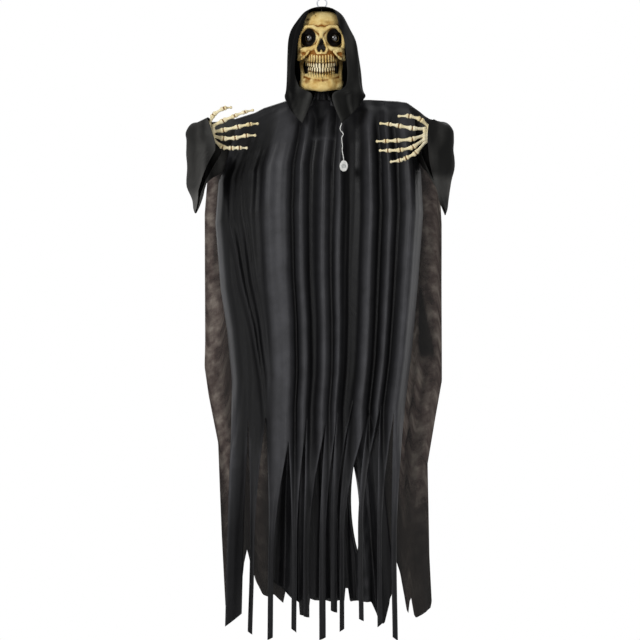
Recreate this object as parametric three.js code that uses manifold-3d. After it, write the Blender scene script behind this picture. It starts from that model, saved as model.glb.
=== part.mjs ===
// Hanging reaper: a skull in a hood, two bell sleeves with skeleton hands and a slit robe, on a steel frame.
// Millimetres, +Z up, the figure faces -Y. The origin is the top of the hanging ring's hole.
import * as THREE from "three";
import { mergeVertices } from "three/addons/utils/BufferGeometryUtils.js";
import Module from "manifold-3d";

const wasm = await Module();
wasm.setup();

// General fits
const gap = 0.3;
const running = 0.4;
const overrun = 1;
const cloth = 3;
const layer_pitch = 5.5;

// Hanging ring, neck post and crown washer
const ring_hole_radius = 12;
const ring_wire = 4;
const eye_shank_diameter = 5;
const eye_shank_length = 58;
const washer_diameter = 22;
const washer_thickness = 2;
const hood_top = 29;
const hood_ease = 4;
const post_diameter = 16;
const post_bore = 6;
const post_nut_across = 26;
const post_nut_height = 7;

// Cross bar and shoulder brackets
const shoulder_half_span = 262;
const bar_top = 358;
const bar_thickness = 6;
const bar_width = 28;
const saddle_width = 128;
const saddle_depth = 76;
const bracket_sheet = 4;
const bracket_drop = 42;
const bracket_width = 24;
const hub_diameter = 22;
const pin_diameter = 8;
const pin_head = 3;
const pin_head_diameter = 12;

// Yoke that carries the cloth at the shoulders
const yoke_wire = 8;
const yoke_collar_diameter = 26;
const yoke_collar_height = 14;
const yoke_drop = 306;

// Gear deck
const deck_drop = 406;
const deck_thickness = 4;
const pillar_diameter = 8;
const pillar_inset = 6;
const gear_module = 2;
const crank_teeth = 24;
const pinion_teeth = 8;
const gear_thickness = 8;
const gear_boss = 3;
const axle_diameter = 6;
const crank_radius = 20;
const crank_pin_diameter = 4;
const rod_thickness = 3;
const rod_width = 8;
const rod_eye_diameter = 11;
const rod_clearance = 0.5;
const lever_thickness = 4;
const lever_width = 12;

// Arm gearmotor and jaw gearmotor
const arm_motor_diameter = 32;
const arm_motor_length = 46;
const jaw_motor_diameter = 24;
const jaw_motor_length = 34;
const motor_shaft_diameter = 5;

// Chest case
const case_width = 100;
const case_depth = 104;
const case_height = 118;
const case_wall = 2.5;
const case_corner = 9;
const speaker_diameter = 50;
const speaker_depth = 16;
const board_width = 70;
const board_height = 44;
const board_thickness = 1.6;
const cell_diameter = 14.2;
const cell_length = 50;
const cell_count = 3;
const cell_pitch = 15;
const door_width = 58;
const door_height = 62;
const door_thickness = 2;
const switch_width = 10;
const switch_height = 6;
const switch_stand = 3;
const switch_travel = 4;

// Arms, wrists and hands
const arm_below_bar = 14;
const arm_drop = bar_top + arm_below_bar;
const arm_tube = 18;
const elbow_left = 366;
const elbow_right = 354;
const wrist_forward = 150;
const wrist_left = 338;
const wrist_right = 322;
const wrist_drop_left = 400;
const wrist_drop_right = 405;
const wrist_pin_diameter = 5;
const fork_socket_diameter = 24;
const fork_gap = 10;
const fork_ear = 3;
const fork_width = 16;
const hand_length_left = 157;
const hand_length_right = 168;
const carpus_length = 40;
const carpus_height = 46;
const carpus_thickness = 20;
const bone_radius = 5.2;

// Skull
const skull_width = 142;
const cranium_height = 171;
const cranium_depth = 168;
const skull_wall = 5;
const skull_split = 6;
const face_drop = 198;
const jaw_axis_back = 20;
const jaw_axis_drop = 172;
const jaw_shaft_diameter = 5;
const jaw_width = 120;
const jaw_lobe = 10;
const ramus_thickness = 9;
const chin_drop = 282;
const chin_forward = 100;
const mouth_drop = 216;
const tooth_height = 15;
const tooth_depth = 8;
const tooth_count = 12;
const mouth_width = 92;
const mouth_depth = 52;
const mouth_front = 104;
const eye_spacing = 72;
const eye_drop = 123.5;
const socket_width = 40;
const socket_height = 49;
const socket_depth = 54;
const socket_forward = 84;
const lens_forward = 55;
const lens_radius = 20;
const led_diameter = 5;
const led_length = 12;
const sector_teeth = 5;
const sector_offset = 22;

// Hood
const hood_half_width = 113;
const hood_depth = 100;
const hood_length = 334;

// Robe, cape and sleeves
const figure_drop = 1857;
const robe_neck_drop = 300;
const robe_half_width = 315;
const robe_forward = 84;
const fold_depth = 25;
const cape_half_width = 345;
const cape_back = 111;
const cape_fold = 14;
const cape_rise = 40;
const robe_back_set = 78;
const back_fold = 12;
const neck_scoop = 42;
const sleeve_width = 84;
const sleeve_drop = 272;

// Try-me lead and push button
const lead_diameter = 2.6;
const grommet_diameter = 10;
const grommet_thickness = 3;
const button_width = 23;
const button_height = 31.5;
const button_depth = 12;
const button_wall = 2;
const button_cap_diameter = 12;
const button_travel = 2;
const lead_end_side = 62;
const lead_forward = 112;
const lead_end_drop = 482;

// Materials
function finish(color, roughness, metalness = 0) {
  return new THREE.MeshStandardMaterial({ color, roughness, metalness });
}
const satin = finish(0x232325, 0.5);
const gauze = finish(0x4a4744, 0.9);
const bone = finish(0xdcc48c, 0.6);
const hand_bone = finish(0xe8dfc0, 0.55);
const tooth = finish(0xe4dcc0, 0.4);
const eye_glass = finish(0x0c0c0e, 0.1);
const steel = finish(0xa8abae, 0.35, 1);
const black_plastic = finish(0x1e1f21, 0.45);
const white_plastic = finish(0xe9e9e6, 0.4);
const grey_plastic = finish(0x9c9c9a, 0.45);
const gear_plastic = finish(0xe6e2d4, 0.45);
const circuit = finish(0x1f5a37, 0.5);
const cell_skin = finish(0x8a8d90, 0.35, 0.4);

const figure = new THREE.Group();

// Geometry helpers
function vec(x, y, z) {
  return new THREE.Vector3(x, y, z);
}

function bare(geometry) {
  const copy = geometry.index ? geometry.toNonIndexed() : geometry.clone();
  copy.deleteAttribute("normal");
  copy.deleteAttribute("uv");
  return mergeVertices(copy, gap / 100);
}

function solid(geometry) {
  const merged = bare(geometry);
  return new wasm.Manifold(
    new wasm.Mesh({
      numProp: 3,
      vertProperties: merged.attributes.position.array,
      triVerts: new Uint32Array(merged.index.array),
    }),
  );
}

function surface(manifold) {
  const made = manifold.getMesh();
  const places = new Float32Array(made.numVert * 3);
  for (let i = 0; i < made.numVert; i++) {
    places.set(made.vertProperties.subarray(i * made.numProp, i * made.numProp + 3), i * 3);
  }
  const geometry = new THREE.BufferGeometry();
  geometry.setAttribute("position", new THREE.BufferAttribute(places, 3));
  geometry.setIndex(new THREE.BufferAttribute(new Uint32Array(made.triVerts), 1));
  geometry.computeVertexNormals();
  return geometry;
}

function joined(...geometries) {
  let whole = solid(geometries[0]);
  for (const next of geometries.slice(1)) {
    whole = whole.add(solid(next));
  }
  return surface(whole);
}

function without(geometry, ...cutters) {
  let rest = solid(geometry);
  for (const cutter of cutters) {
    rest = rest.subtract(solid(cutter));
  }
  return surface(rest);
}

function common(a, b) {
  return surface(solid(a).intersect(solid(b)));
}

function block(width, depth, height, x, y, z) {
  return new THREE.BoxGeometry(width, depth, height).translate(x, y, z);
}

// A block between two corners.
function span(x0, x1, y0, y1, z0, z1) {
  return block(x1 - x0, y1 - y0, z1 - z0, (x0 + x1) / 2, (y0 + y1) / 2, (z0 + z1) / 2);
}

// An upright round bar from z0 to z1.
function post(diameter, x, y, z0, z1, sides = 16) {
  const bar = new THREE.CylinderGeometry(diameter / 2, diameter / 2, z1 - z0, sides);
  return bar.rotateX(Math.PI / 2).translate(x, y, (z0 + z1) / 2);
}

// A round bar along X from x0 to x1.
function shaft(diameter, x0, x1, y, z, sides = 16) {
  const bar = new THREE.CylinderGeometry(diameter / 2, diameter / 2, x1 - x0, sides);
  return bar.rotateZ(Math.PI / 2).translate((x0 + x1) / 2, y, z);
}

// A round bar along Y from y0 to y1.
function plunger(diameter, y0, y1, x, z, sides = 16) {
  const bar = new THREE.CylinderGeometry(diameter / 2, diameter / 2, y1 - y0, sides);
  return bar.translate(x, (y0 + y1) / 2, z);
}

function egg(rx, ry, rz, x, y, z, around = 10, up = 7) {
  const ball = new THREE.SphereGeometry(1, around, up).rotateX(Math.PI / 2);
  return ball.scale(rx, ry, rz).translate(x, y, z);
}

function plate(shape, thickness, z0) {
  const made = new THREE.ExtrudeGeometry(shape, { depth: thickness, bevelEnabled: false, curveSegments: 6 });
  return made.translate(0, 0, z0);
}

function polygon(points) {
  return new THREE.Shape(points.map(([x, y]) => new THREE.Vector2(x, y)));
}

function circle(radius, sides, x = 0, y = 0) {
  const points = [];
  for (let i = 0; i < sides; i++) {
    const angle = (2 * Math.PI * i) / sides;
    points.push([x + radius * Math.cos(angle), y + radius * Math.sin(angle)]);
  }
  return polygon(points);
}

// A round tube or wire along a smooth curve.
function wire(points, diameter, steps, sides = 8) {
  const path = new THREE.CatmullRomCurve3(points);
  const section = circle(diameter / 2, sides);
  return new THREE.ExtrudeGeometry(section, { steps, extrudePath: path, bevelEnabled: false });
}

function add(name, geometry, material) {
  const mesh = new THREE.Mesh(geometry, material);
  mesh.name = name;
  figure.add(mesh);
  return mesh;
}

// Value at t on a list of evenly spaced values, on a smooth curve through them.
function smooth(values, t) {
  const last = values.length - 1;
  const place = Math.min(Math.max(t, 0), 1) * last;
  const i = Math.min(Math.floor(place), last - 1);
  const f = place - i;
  const a = values[Math.max(i - 1, 0)];
  const b = values[i];
  const c = values[i + 1];
  const d = values[Math.min(i + 2, last)];
  return b + (f * (c - a + f * (2 * a - 5 * b + 4 * c - d + f * (3 * (b - c) + d - a)))) / 2;
}

// Value at x on a table of [x, value] rows, straight between the rows.
function along(table, x) {
  if (x <= table[0][0]) {
    return table[0][1];
  }
  for (let i = 1; i < table.length; i++) {
    const [x0, v0] = table[i - 1];
    const [x1, v1] = table[i];
    if (x <= x1) {
      return v0 + ((v1 - v0) * (x - x0)) / (x1 - x0);
    }
  }
  return table[table.length - 1][1];
}

// Cloth as a closed solid: four-cornered patches of the outer face, the same face one thickness
// behind it, and a narrow wall round every free edge. Patches run top left, top right, bottom
// right, bottom left, as seen from outside.
function clothSolid(patches, thickness) {
  const corners = [];
  for (const [a, b, c, d] of patches) {
    corners.push(a, d, c, a, c, b);
  }
  const soup = new THREE.BufferGeometry().setFromPoints(corners);
  const face = mergeVertices(soup, gap / 10);
  const points = face.attributes.position;
  const triangles = [];
  for (let i = 0; i < face.index.count; i += 3) {
    const [p, q, r] = [face.index.getX(i), face.index.getX(i + 1), face.index.getX(i + 2)];
    if (p !== q && q !== r && r !== p) {
      triangles.push([p, q, r]);
    }
  }
  const normals = Array.from({ length: points.count }, () => vec(0, 0, 0));
  const place = (i) => new THREE.Vector3().fromBufferAttribute(points, i);
  const open = new Map();
  for (const [p, q, r] of triangles) {
    const normal = place(q).sub(place(p)).cross(place(r).sub(place(p)));
    for (const i of [p, q, r]) {
      normals[i].add(normal);
    }
    for (const [from, to] of [[p, q], [q, r], [r, p]]) {
      if (open.has(to + "_" + from)) {
        open.delete(to + "_" + from);
      } else {
        open.set(from + "_" + to, [from, to]);
      }
    }
  }
  const count = points.count;
  const places = [];
  for (let i = 0; i < count; i++) {
    places.push(place(i));
  }
  for (let i = 0; i < count; i++) {
    places.push(place(i).sub(normals[i].normalize().multiplyScalar(thickness)));
  }
  const index = [];
  for (const [p, q, r] of triangles) {
    index.push(p, q, r, q + count, p + count, r + count);
  }
  for (const [p, q] of open.values()) {
    index.push(q, p, p + count, q, p + count, q + count);
  }
  const made = new THREE.BufferGeometry().setFromPoints(places);
  made.setIndex(index);
  return made;
}

// Rows and columns of points to patches.
function patchesOf(rows, columns, point) {
  const patches = [];
  for (let r = 0; r < rows; r++) {
    for (let c = 0; c < columns; c++) {
      patches.push([point(r, c), point(r, c + 1), point(r + 1, c + 1), point(r + 1, c)]);
    }
  }
  return patches;
}

// Hanging eye: a ring of round wire on a threaded shank that screws into the neck post.
const ring_centre = -ring_hole_radius;
const ring_bottom = ring_centre - ring_hole_radius - ring_wire / 2;
const crown_top = -hood_top - cloth - hood_ease;
const washer_top = crown_top - skull_wall - gap;
const post_top = washer_top - washer_thickness - gap;

function makeHangingEye() {
  const ring = new THREE.TorusGeometry(ring_hole_radius + ring_wire / 2, ring_wire / 2, 6, 18);
  ring.rotateX(Math.PI / 2).translate(0, 0, ring_centre);
  const shank = post(eye_shank_diameter, 0, 0, ring_bottom - eye_shank_length, ring_bottom, 12);
  add("hanging_eye", joined(ring, shank), steel);
}

function makeNeck() {
  const washer = post(washer_diameter, 0, 0, post_top + gap, washer_top, 20);
  const shank_hole = eye_shank_diameter + 2 * gap;
  const through = post(shank_hole, 0, 0, post_top, washer_top + overrun, 12);
  add("crown_washer", without(washer, through), steel);
  const post_bottom = -bar_top - bar_thickness - post_nut_height - 2 * gap;
  const tube = post(post_diameter, 0, 0, post_bottom, post_top, 16);
  const bore = post(post_bore, 0, 0, post_bottom - overrun, post_top + overrun, 12);
  add("neck_post", without(tube, bore), steel);
  const nut_top = -bar_top - bar_thickness - gap;
  const nut = post(post_nut_across, 0, 0, nut_top - post_nut_height, nut_top, 6);
  const thread = post(post_diameter + 2 * gap, 0, 0, post_bottom - overrun, nut_top + overrun, 16);
  add("post_nut", without(nut, thread), steel);
}

// Cross bar: one flat steel plate, a strip from shoulder to shoulder with a wide saddle in the middle.
const bar_bottom = -bar_top - bar_thickness;
const bar_end = shoulder_half_span + bracket_width / 2;

function makeCrossBar() {
  const half = bar_width / 2;
  const outline = polygon([
    [-bar_end, -half],
    [-saddle_width / 2, -half],
    [-saddle_width / 2, -saddle_depth / 2],
    [saddle_width / 2, -saddle_depth / 2],
    [saddle_width / 2, -half],
    [bar_end, -half],
    [bar_end, half],
    [saddle_width / 2, half],
    [saddle_width / 2, saddle_depth / 2],
    [-saddle_width / 2, saddle_depth / 2],
    [-saddle_width / 2, half],
    [-bar_end, half],
  ]);
  outline.holes.push(circle(post_diameter / 2 + gap, 16));
  for (const side of [-1, 1]) {
    outline.holes.push(circle(pin_diameter / 2 + gap, 12, side * shoulder_half_span));
  }
  add("cross_bar", plate(outline, bar_thickness, bar_bottom), steel);
}

// A C-shaped bracket under each end of the bar holds the upright shoulder pin top and bottom.
const bracket_top = bar_bottom - gap;
const bracket_bottom = bracket_top - bracket_drop;
const web_inner = shoulder_half_span - hub_diameter / 2 - 2 * bracket_sheet;
const hub_top = bracket_top - bracket_sheet - running;
const hub_bottom = bracket_bottom + bracket_sheet + running;

function makeShoulder(side, word) {
  const outer = span(web_inner, bar_end, -bracket_width / 2, bracket_width / 2, bracket_bottom, bracket_top);
  const room = span(
    web_inner + bracket_sheet,
    bar_end + overrun,
    -bracket_width,
    bracket_width,
    bracket_bottom + bracket_sheet,
    bracket_top - bracket_sheet,
  );
  const hole = post(
    pin_diameter + 2 * gap,
    shoulder_half_span,
    0,
    bracket_bottom - overrun,
    bracket_top + overrun,
    12,
  );
  const bracket = without(outer, room, hole);
  add("shoulder_bracket_" + word, mirrored(bracket, side), steel);
  const pin = joined(
    post(pin_diameter, shoulder_half_span, 0, bracket_bottom - pin_head, -bar_top + gap, 12),
    post(pin_head_diameter, shoulder_half_span, 0, -bar_top + gap, -bar_top + gap + pin_head, 12),
  );
  add("shoulder_pin_" + word, mirrored(pin, side), steel);
}

// The right-hand piece as drawn for side 1, or its mirror image for side -1.
function mirrored(geometry, side) {
  if (side > 0) {
    return geometry;
  }
  const copy = bare(geometry);
  copy.scale(-1, 1, 1);
  const index = copy.index;
  for (let i = 0; i < index.count; i += 3) {
    const second = index.getX(i + 1);
    index.setX(i + 1, index.getX(i + 2));
    index.setX(i + 2, second);
  }
  return copy;
}

// Height of the cloth's shoulder line, from the photographed outline: rows of side and drop,
// as shares of robe_half_width and of robe_neck_drop.
const shoulder_line_shares = [
  [-1, 1.38],
  [-0.86, 1.34],
  [-0.82, 1.19],
  [-0.62, 1.124],
  [-0.54, 1.08],
  [-0.33, 1.008],
  [0, 1.0],
  [0.45, 1.0],
  [0.7, 1.013],
  [0.79, 1.027],
  [0.85, 1.07],
  [0.87, 1.34],
  [1, 1.38],
];

function shoulderDrop(x) {
  return robe_neck_drop * along(shoulder_line_shares, x / robe_half_width);
}

// How far the cloth's crest stands off the middle: against the yoke, and round the bar's edges where
// the shoulder line comes down to the bar.
function crestOffset(x) {
  const low = shoulderDrop(x) > bar_top - 2 * bar_width;
  return low ? bar_width / 2 + gap : yoke_wire / 2 - 2 * gap;
}

// Yoke: a bent wire clamped on the neck post, which follows the shoulder line under the cloth.
const yoke_side_shares = [-0.66, -0.55, -0.42, -0.2, 0, 0.2, 0.45, 0.62, 0.77];
const yoke_sink = (2 * cloth) / 3;

function makeYoke() {
  const points = yoke_side_shares.map((share) => {
    const x = share * robe_half_width;
    return vec(x, 0, -shoulderDrop(x) - yoke_sink);
  });
  const collar = post(
    yoke_collar_diameter,
    0,
    0,
    -yoke_drop - yoke_collar_height / 2,
    -yoke_drop + yoke_collar_height / 2,
    16,
  );
  const whole = joined(wire(points, yoke_wire, 16, 6), collar);
  const bore = post(
    post_diameter + 2 * gap,
    0,
    0,
    -yoke_drop - yoke_collar_height,
    -yoke_drop + yoke_collar_height,
  );
  add("shoulder_yoke", without(whole, bore), steel);
}

// Gear outline: straight-sided teeth on a root circle, over all its teeth or over a sector of them.
const tooth_height_share = 0.85;
const tooth_root_share = 1.15;
const tooth_base_share = 0.3;
const tooth_tip_share = 0.13;

function gearShape(teeth, phase, first = 0, last = teeth - 1, hub = 0) {
  const pitch_radius = (gear_module * teeth) / 2;
  const tip = pitch_radius + tooth_height_share * gear_module;
  const root = pitch_radius - tooth_root_share * gear_module;
  const pitch = (2 * Math.PI) / teeth;
  const points = [];
  for (let i = first; i <= last; i++) {
    const centre = phase + i * pitch;
    for (const [offset, radius] of [
      [-tooth_base_share, root],
      [-tooth_tip_share, tip],
      [tooth_tip_share, tip],
      [tooth_base_share, root],
    ]) {
      const angle = centre + offset * pitch;
      points.push([radius * Math.cos(angle), radius * Math.sin(angle)]);
    }
  }
  if (hub > 0) {
    const start = phase + (last + 1) * pitch;
    const sweep = 2 * Math.PI - (last - first + 2) * pitch;
    for (let i = 0; i <= 6; i++) {
      const angle = start + (sweep * i) / 6;
      points.push([hub * Math.cos(angle), hub * Math.sin(angle)]);
    }
  }
  return polygon(points);
}

// Gear deck: a plate under the bar that carries two meshing crank gears and the arm motor.
const crank_pitch_radius = (gear_module * crank_teeth) / 2;
const pinion_pitch_radius = (gear_module * pinion_teeth) / 2;
const crank_side = crank_pitch_radius;
const motor_back = crank_pitch_radius + pinion_pitch_radius;
const deck_top = -deck_drop;
const deck_bottom = deck_top - deck_thickness;
const gear_bottom = deck_top + gear_boss + gap;
const gear_top = gear_bottom + gear_thickness;
const lever_bottom = hub_bottom;
const lever_top = lever_bottom + lever_thickness;
const rod_bottom = Math.max(gear_top, lever_top) + 2 * gap;
const rod_top = rod_bottom + rod_thickness;
const pillar_places = [
  [0, -saddle_depth / 2 + pillar_inset],
  [crank_side + pillar_inset, saddle_depth / 2 - pillar_inset],
  [-saddle_width / 2 + pillar_inset, saddle_depth / 2 - pillar_inset],
];

function makeDeck() {
  const half_w = saddle_width / 2;
  const half_d = saddle_depth / 2;
  const sheet = span(-half_w, half_w, -half_d, half_d, deck_bottom, deck_top);
  const pieces = [sheet];
  for (const side of [-1, 1]) {
    pieces.push(post(
      axle_diameter + 2 * gear_boss,
      side * crank_side,
      0,
      deck_bottom,
      deck_top + gear_boss,
      12,
    ));
    pieces.push(post(axle_diameter, side * crank_side, 0, deck_bottom, gear_top + gear_boss, 12));
  }
  const hole = post(
    motor_shaft_diameter + 2 * running,
    -crank_side,
    motor_back,
    deck_bottom - overrun,
    deck_top + overrun,
    12,
  );
  add("gear_deck", without(joined(...pieces), hole), black_plastic);
  pillar_places.forEach(([x, y], i) => {
    add("deck_pillar_" + (i + 1), post(pillar_diameter, x, y, deck_top + gap, bar_bottom - gap, 12), steel);
  });
}

// The crank pins stand at the front of each gear, so that rod, crank and lever form a parallelogram.
function makeCrank(side, word) {
  const phase = side < 0 ? 0 : Math.PI / crank_teeth;
  const disc = plate(gearShape(crank_teeth, phase), gear_thickness, gear_bottom);
  const pin = post(crank_pin_diameter, 0, -crank_radius, gear_bottom, rod_top + gear_boss, 12);
  const bore = post(axle_diameter + 2 * gap, 0, 0, gear_bottom - overrun, gear_top + overrun, 12);
  const gear = without(joined(disc, pin), bore);
  add("crank_gear_" + word, gear.translate(side * crank_side, 0, 0), gear_plastic);
}

function makePushRod(side, word) {
  const inner = crank_side;
  const outer = shoulder_half_span;
  const eye_hole = crank_pin_diameter + 2 * rod_clearance;
  const strip = span(inner, outer, -rod_width / 2, rod_width / 2, rod_bottom, rod_top);
  const eyes = [inner, outer].map((x) => post(rod_eye_diameter, x, 0, rod_bottom, rod_top, 12));
  const holes = [inner, outer].map((x) => post(eye_hole, x, 0, rod_bottom - overrun, rod_top + overrun, 12));
  const rod = without(joined(strip, ...eyes), ...holes).translate(0, -crank_radius, 0);
  add("push_rod_" + word, mirrored(rod, side), steel);
}

function makeArmDrive() {
  const motor_top = deck_bottom - gap;
  const can = joined(
    post(arm_motor_diameter, 0, 0, motor_top - arm_motor_length, motor_top, 16),
    post(motor_shaft_diameter, 0, 0, motor_top - deck_thickness, gear_top, 10),
  );
  add("arm_motor", can.translate(-crank_side, motor_back, 0), steel);
  const disc = plate(gearShape(pinion_teeth, Math.PI / pinion_teeth), gear_thickness, gear_bottom);
  const bore = post(motor_shaft_diameter + 2 * gap, 0, 0, gear_bottom - overrun, gear_top + overrun, 10);
  add("motor_pinion", without(disc, bore).translate(-crank_side, motor_back, 0), gear_plastic);
}

// Chest case: two moulded shells with rounded corners, split down the middle, under the gear deck.
const case_top = deck_bottom - gap;
const case_bottom = case_top - case_height;
const case_front = -case_depth / 2;
const case_back = case_depth / 2;
const cell_back = case_back - case_wall - gap - cell_diameter / 2;
const cell_bottom = case_bottom + case_wall + gap;
const door_bottom = case_bottom + 2 * case_wall;
const door_top = door_bottom + door_height;
const switch_side = case_width / 2 - switch_width - case_wall;
const switch_drop = case_top - 3 * switch_height;
const switch_slot = switch_height + switch_travel;
const speaker_z = case_bottom + case_height / 3;
const cell_window_half = (cell_count * cell_pitch) / 2;

// Upright rounded box between two heights.
function roundedBox(width, depth, corner, z0, z1) {
  const shape = new THREE.Shape();
  const x = width / 2;
  const y = depth / 2;
  shape.moveTo(-x + corner, -y);
  shape.lineTo(x - corner, -y);
  shape.absarc(x - corner, -y + corner, corner, -Math.PI / 2, 0);
  shape.absarc(x - corner, y - corner, corner, 0, Math.PI / 2);
  shape.absarc(-x + corner, y - corner, corner, Math.PI / 2, Math.PI);
  shape.absarc(-x + corner, -y + corner, corner, Math.PI, 1.5 * Math.PI);
  const made = new THREE.ExtrudeGeometry(shape, { depth: z1 - z0, bevelEnabled: false, curveSegments: 3 });
  return made.translate(0, 0, z0);
}

function makeCase() {
  const skin = roundedBox(case_width, case_depth, case_corner, case_bottom, case_top);
  const room = roundedBox(
    case_width - 2 * case_wall,
    case_depth - 2 * case_wall,
    case_corner - case_wall,
    case_bottom + case_wall,
    case_top - case_wall,
  );
  const motor_hole = post(
    arm_motor_diameter + 2 * gap,
    -crank_side,
    motor_back,
    case_top - 2 * case_wall,
    case_top + overrun,
  );
  const front_half = span(
    -case_width,
    case_width,
    -case_depth,
    -gap / 2,
    case_bottom - overrun,
    case_top + overrun,
  );
  const back_half = span(
    -case_width,
    case_width,
    gap / 2,
    case_depth,
    case_bottom - overrun,
    case_top + overrun,
  );
  const shell = without(skin, room, motor_hole);
  const sound_holes = [-1, 0, 1].map((i) =>
    plunger(
      speaker_diameter / 8,
      case_front - overrun,
      case_front + 2 * case_wall,
      (i * speaker_diameter) / 4,
      speaker_z,
      8,
    ),
  );
  add("case_front", without(common(shell, front_half), ...sound_holes), black_plastic);
  const cell_window = span(
    -cell_window_half,
    cell_window_half,
    case_back - 2 * case_wall,
    case_back + overrun,
    door_bottom + 2 * case_wall,
    door_top - 2 * case_wall,
  );
  const slot = span(
    switch_side - switch_width / 2 + case_wall,
    switch_side + switch_width / 2 - case_wall,
    case_back - 2 * case_wall,
    case_back + overrun,
    switch_drop - switch_slot / 2,
    switch_drop + switch_slot / 2,
  );
  add("case_rear", without(common(shell, back_half), cell_window, slot), black_plastic);
}

function makeCaseContents() {
  const speaker_face = case_front + case_wall + gap;
  const cone = joined(
    plunger(speaker_diameter, speaker_face, speaker_face + speaker_depth / 3, 0, speaker_z, 20),
    plunger(speaker_diameter / 2, speaker_face, speaker_face + speaker_depth, 0, speaker_z, 16),
  );
  add("speaker", cone, black_plastic);
  const board_front = speaker_face + speaker_depth + gap;
  const board_bottom = case_bottom + case_wall + gap;
  const board = span(
    -board_width / 2,
    board_width / 2,
    board_front,
    board_front + board_thickness,
    board_bottom,
    board_bottom + board_height,
  );
  const chip_side = board_height / 4;
  const chips = [-1, 1].map((i) =>
    block(
      chip_side,
      2 * board_thickness,
      chip_side,
      i * chip_side,
      board_front + board_thickness + board_thickness / 2,
      board_bottom + board_height / 2,
    ),
  );
  add("circuit_board", joined(board, ...chips), circuit);
  for (let i = 0; i < cell_count; i++) {
    const x = (i - (cell_count - 1) / 2) * cell_pitch;
    const body_top = cell_bottom + cell_length - 2 * board_thickness;
    const cell = joined(
      post(cell_diameter, x, cell_back, cell_bottom, body_top, 12),
      post(cell_diameter / 3, x, cell_back, body_top - overrun, cell_bottom + cell_length, 8),
    );
    add("battery_cell_" + (i + 1), cell, cell_skin);
  }
}

function makeCaseControls() {
  const door_front = case_back + gap;
  const door = span(
    -door_width / 2,
    door_width / 2,
    door_front,
    door_front + door_thickness,
    door_bottom,
    door_top,
  );
  const ribs = [-1, 0, 1].map((i) =>
    block(
      door_width / 3,
      door_thickness,
      door_thickness,
      0,
      door_front + door_thickness,
      door_top - door_height / 5 + 2 * i * door_thickness,
    ),
  );
  add("battery_door", joined(door, ...ribs), black_plastic);
  const knob = span(
    switch_side - switch_width / 2,
    switch_side + switch_width / 2,
    case_back + gap,
    case_back + gap + switch_stand,
    switch_drop - switch_travel / 2 - switch_height / 2,
    switch_drop - switch_travel / 2 + switch_height / 2,
  );
  add("power_switch", knob, grey_plastic);
}

// Arms: an upright hub on the shoulder pin, a bent tube to the wrist and a drive lever to the front.
const arm_path_shares = [
  [0.5, 0, 0],
  [0.86, 0.05, 0.08],
  [1, 0.26, 0.26],
  [0.93, 0.58, 0.62],
];

function makeArm(side, word, elbow, wrist, wrist_drop, hand_drop) {
  const reach = elbow - shoulder_half_span;
  const drop = wrist_drop - arm_drop;
  const points = arm_path_shares.map(([out, forward, down]) =>
    vec(shoulder_half_span + out * reach, -forward * wrist_forward, -arm_drop - down * drop),
  );
  points.unshift(vec(shoulder_half_span, 0, (hub_top + hub_bottom) / 2));
  const fork_back = vec(
    shoulder_half_span + (wrist - shoulder_half_span) + fork_width / 3,
    -wrist_forward + fork_socket_diameter,
    -wrist_drop,
  );
  points.push(fork_back);
  const hub = post(hub_diameter, shoulder_half_span, 0, hub_bottom, hub_top, 16);
  const lever = span(
    shoulder_half_span - lever_width / 2,
    shoulder_half_span + lever_width / 2,
    -crank_radius - lever_width / 2,
    0,
    lever_bottom,
    lever_top,
  );
  const lever_pin = post(
    crank_pin_diameter,
    shoulder_half_span,
    -crank_radius,
    lever_bottom,
    rod_top + gear_boss,
    12,
  );
  const bore = post(
    pin_diameter + 2 * gap,
    shoulder_half_span,
    0,
    hub_bottom - overrun,
    hub_top + overrun,
    12,
  );
  const toward = vec(wrist, -wrist_forward, -wrist_drop).sub(fork_back).normalize();
  const square = new THREE.CylinderGeometry(arm_tube, arm_tube, arm_tube, 12).translate(0, arm_tube / 2, 0);
  square.applyQuaternion(new THREE.Quaternion().setFromUnitVectors(vec(0, 1, 0), toward));
  square.translate(fork_back.x, fork_back.y, fork_back.z);
  const tube = without(wire(points, arm_tube, 10, 8), square);
  const weldment = without(joined(hub, tube, lever, lever_pin), bore);
  add("arm_" + word, mirrored(weldment, side), steel);
  makeWrist(side, word, wrist, wrist_drop, fork_back, toward);
}

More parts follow.
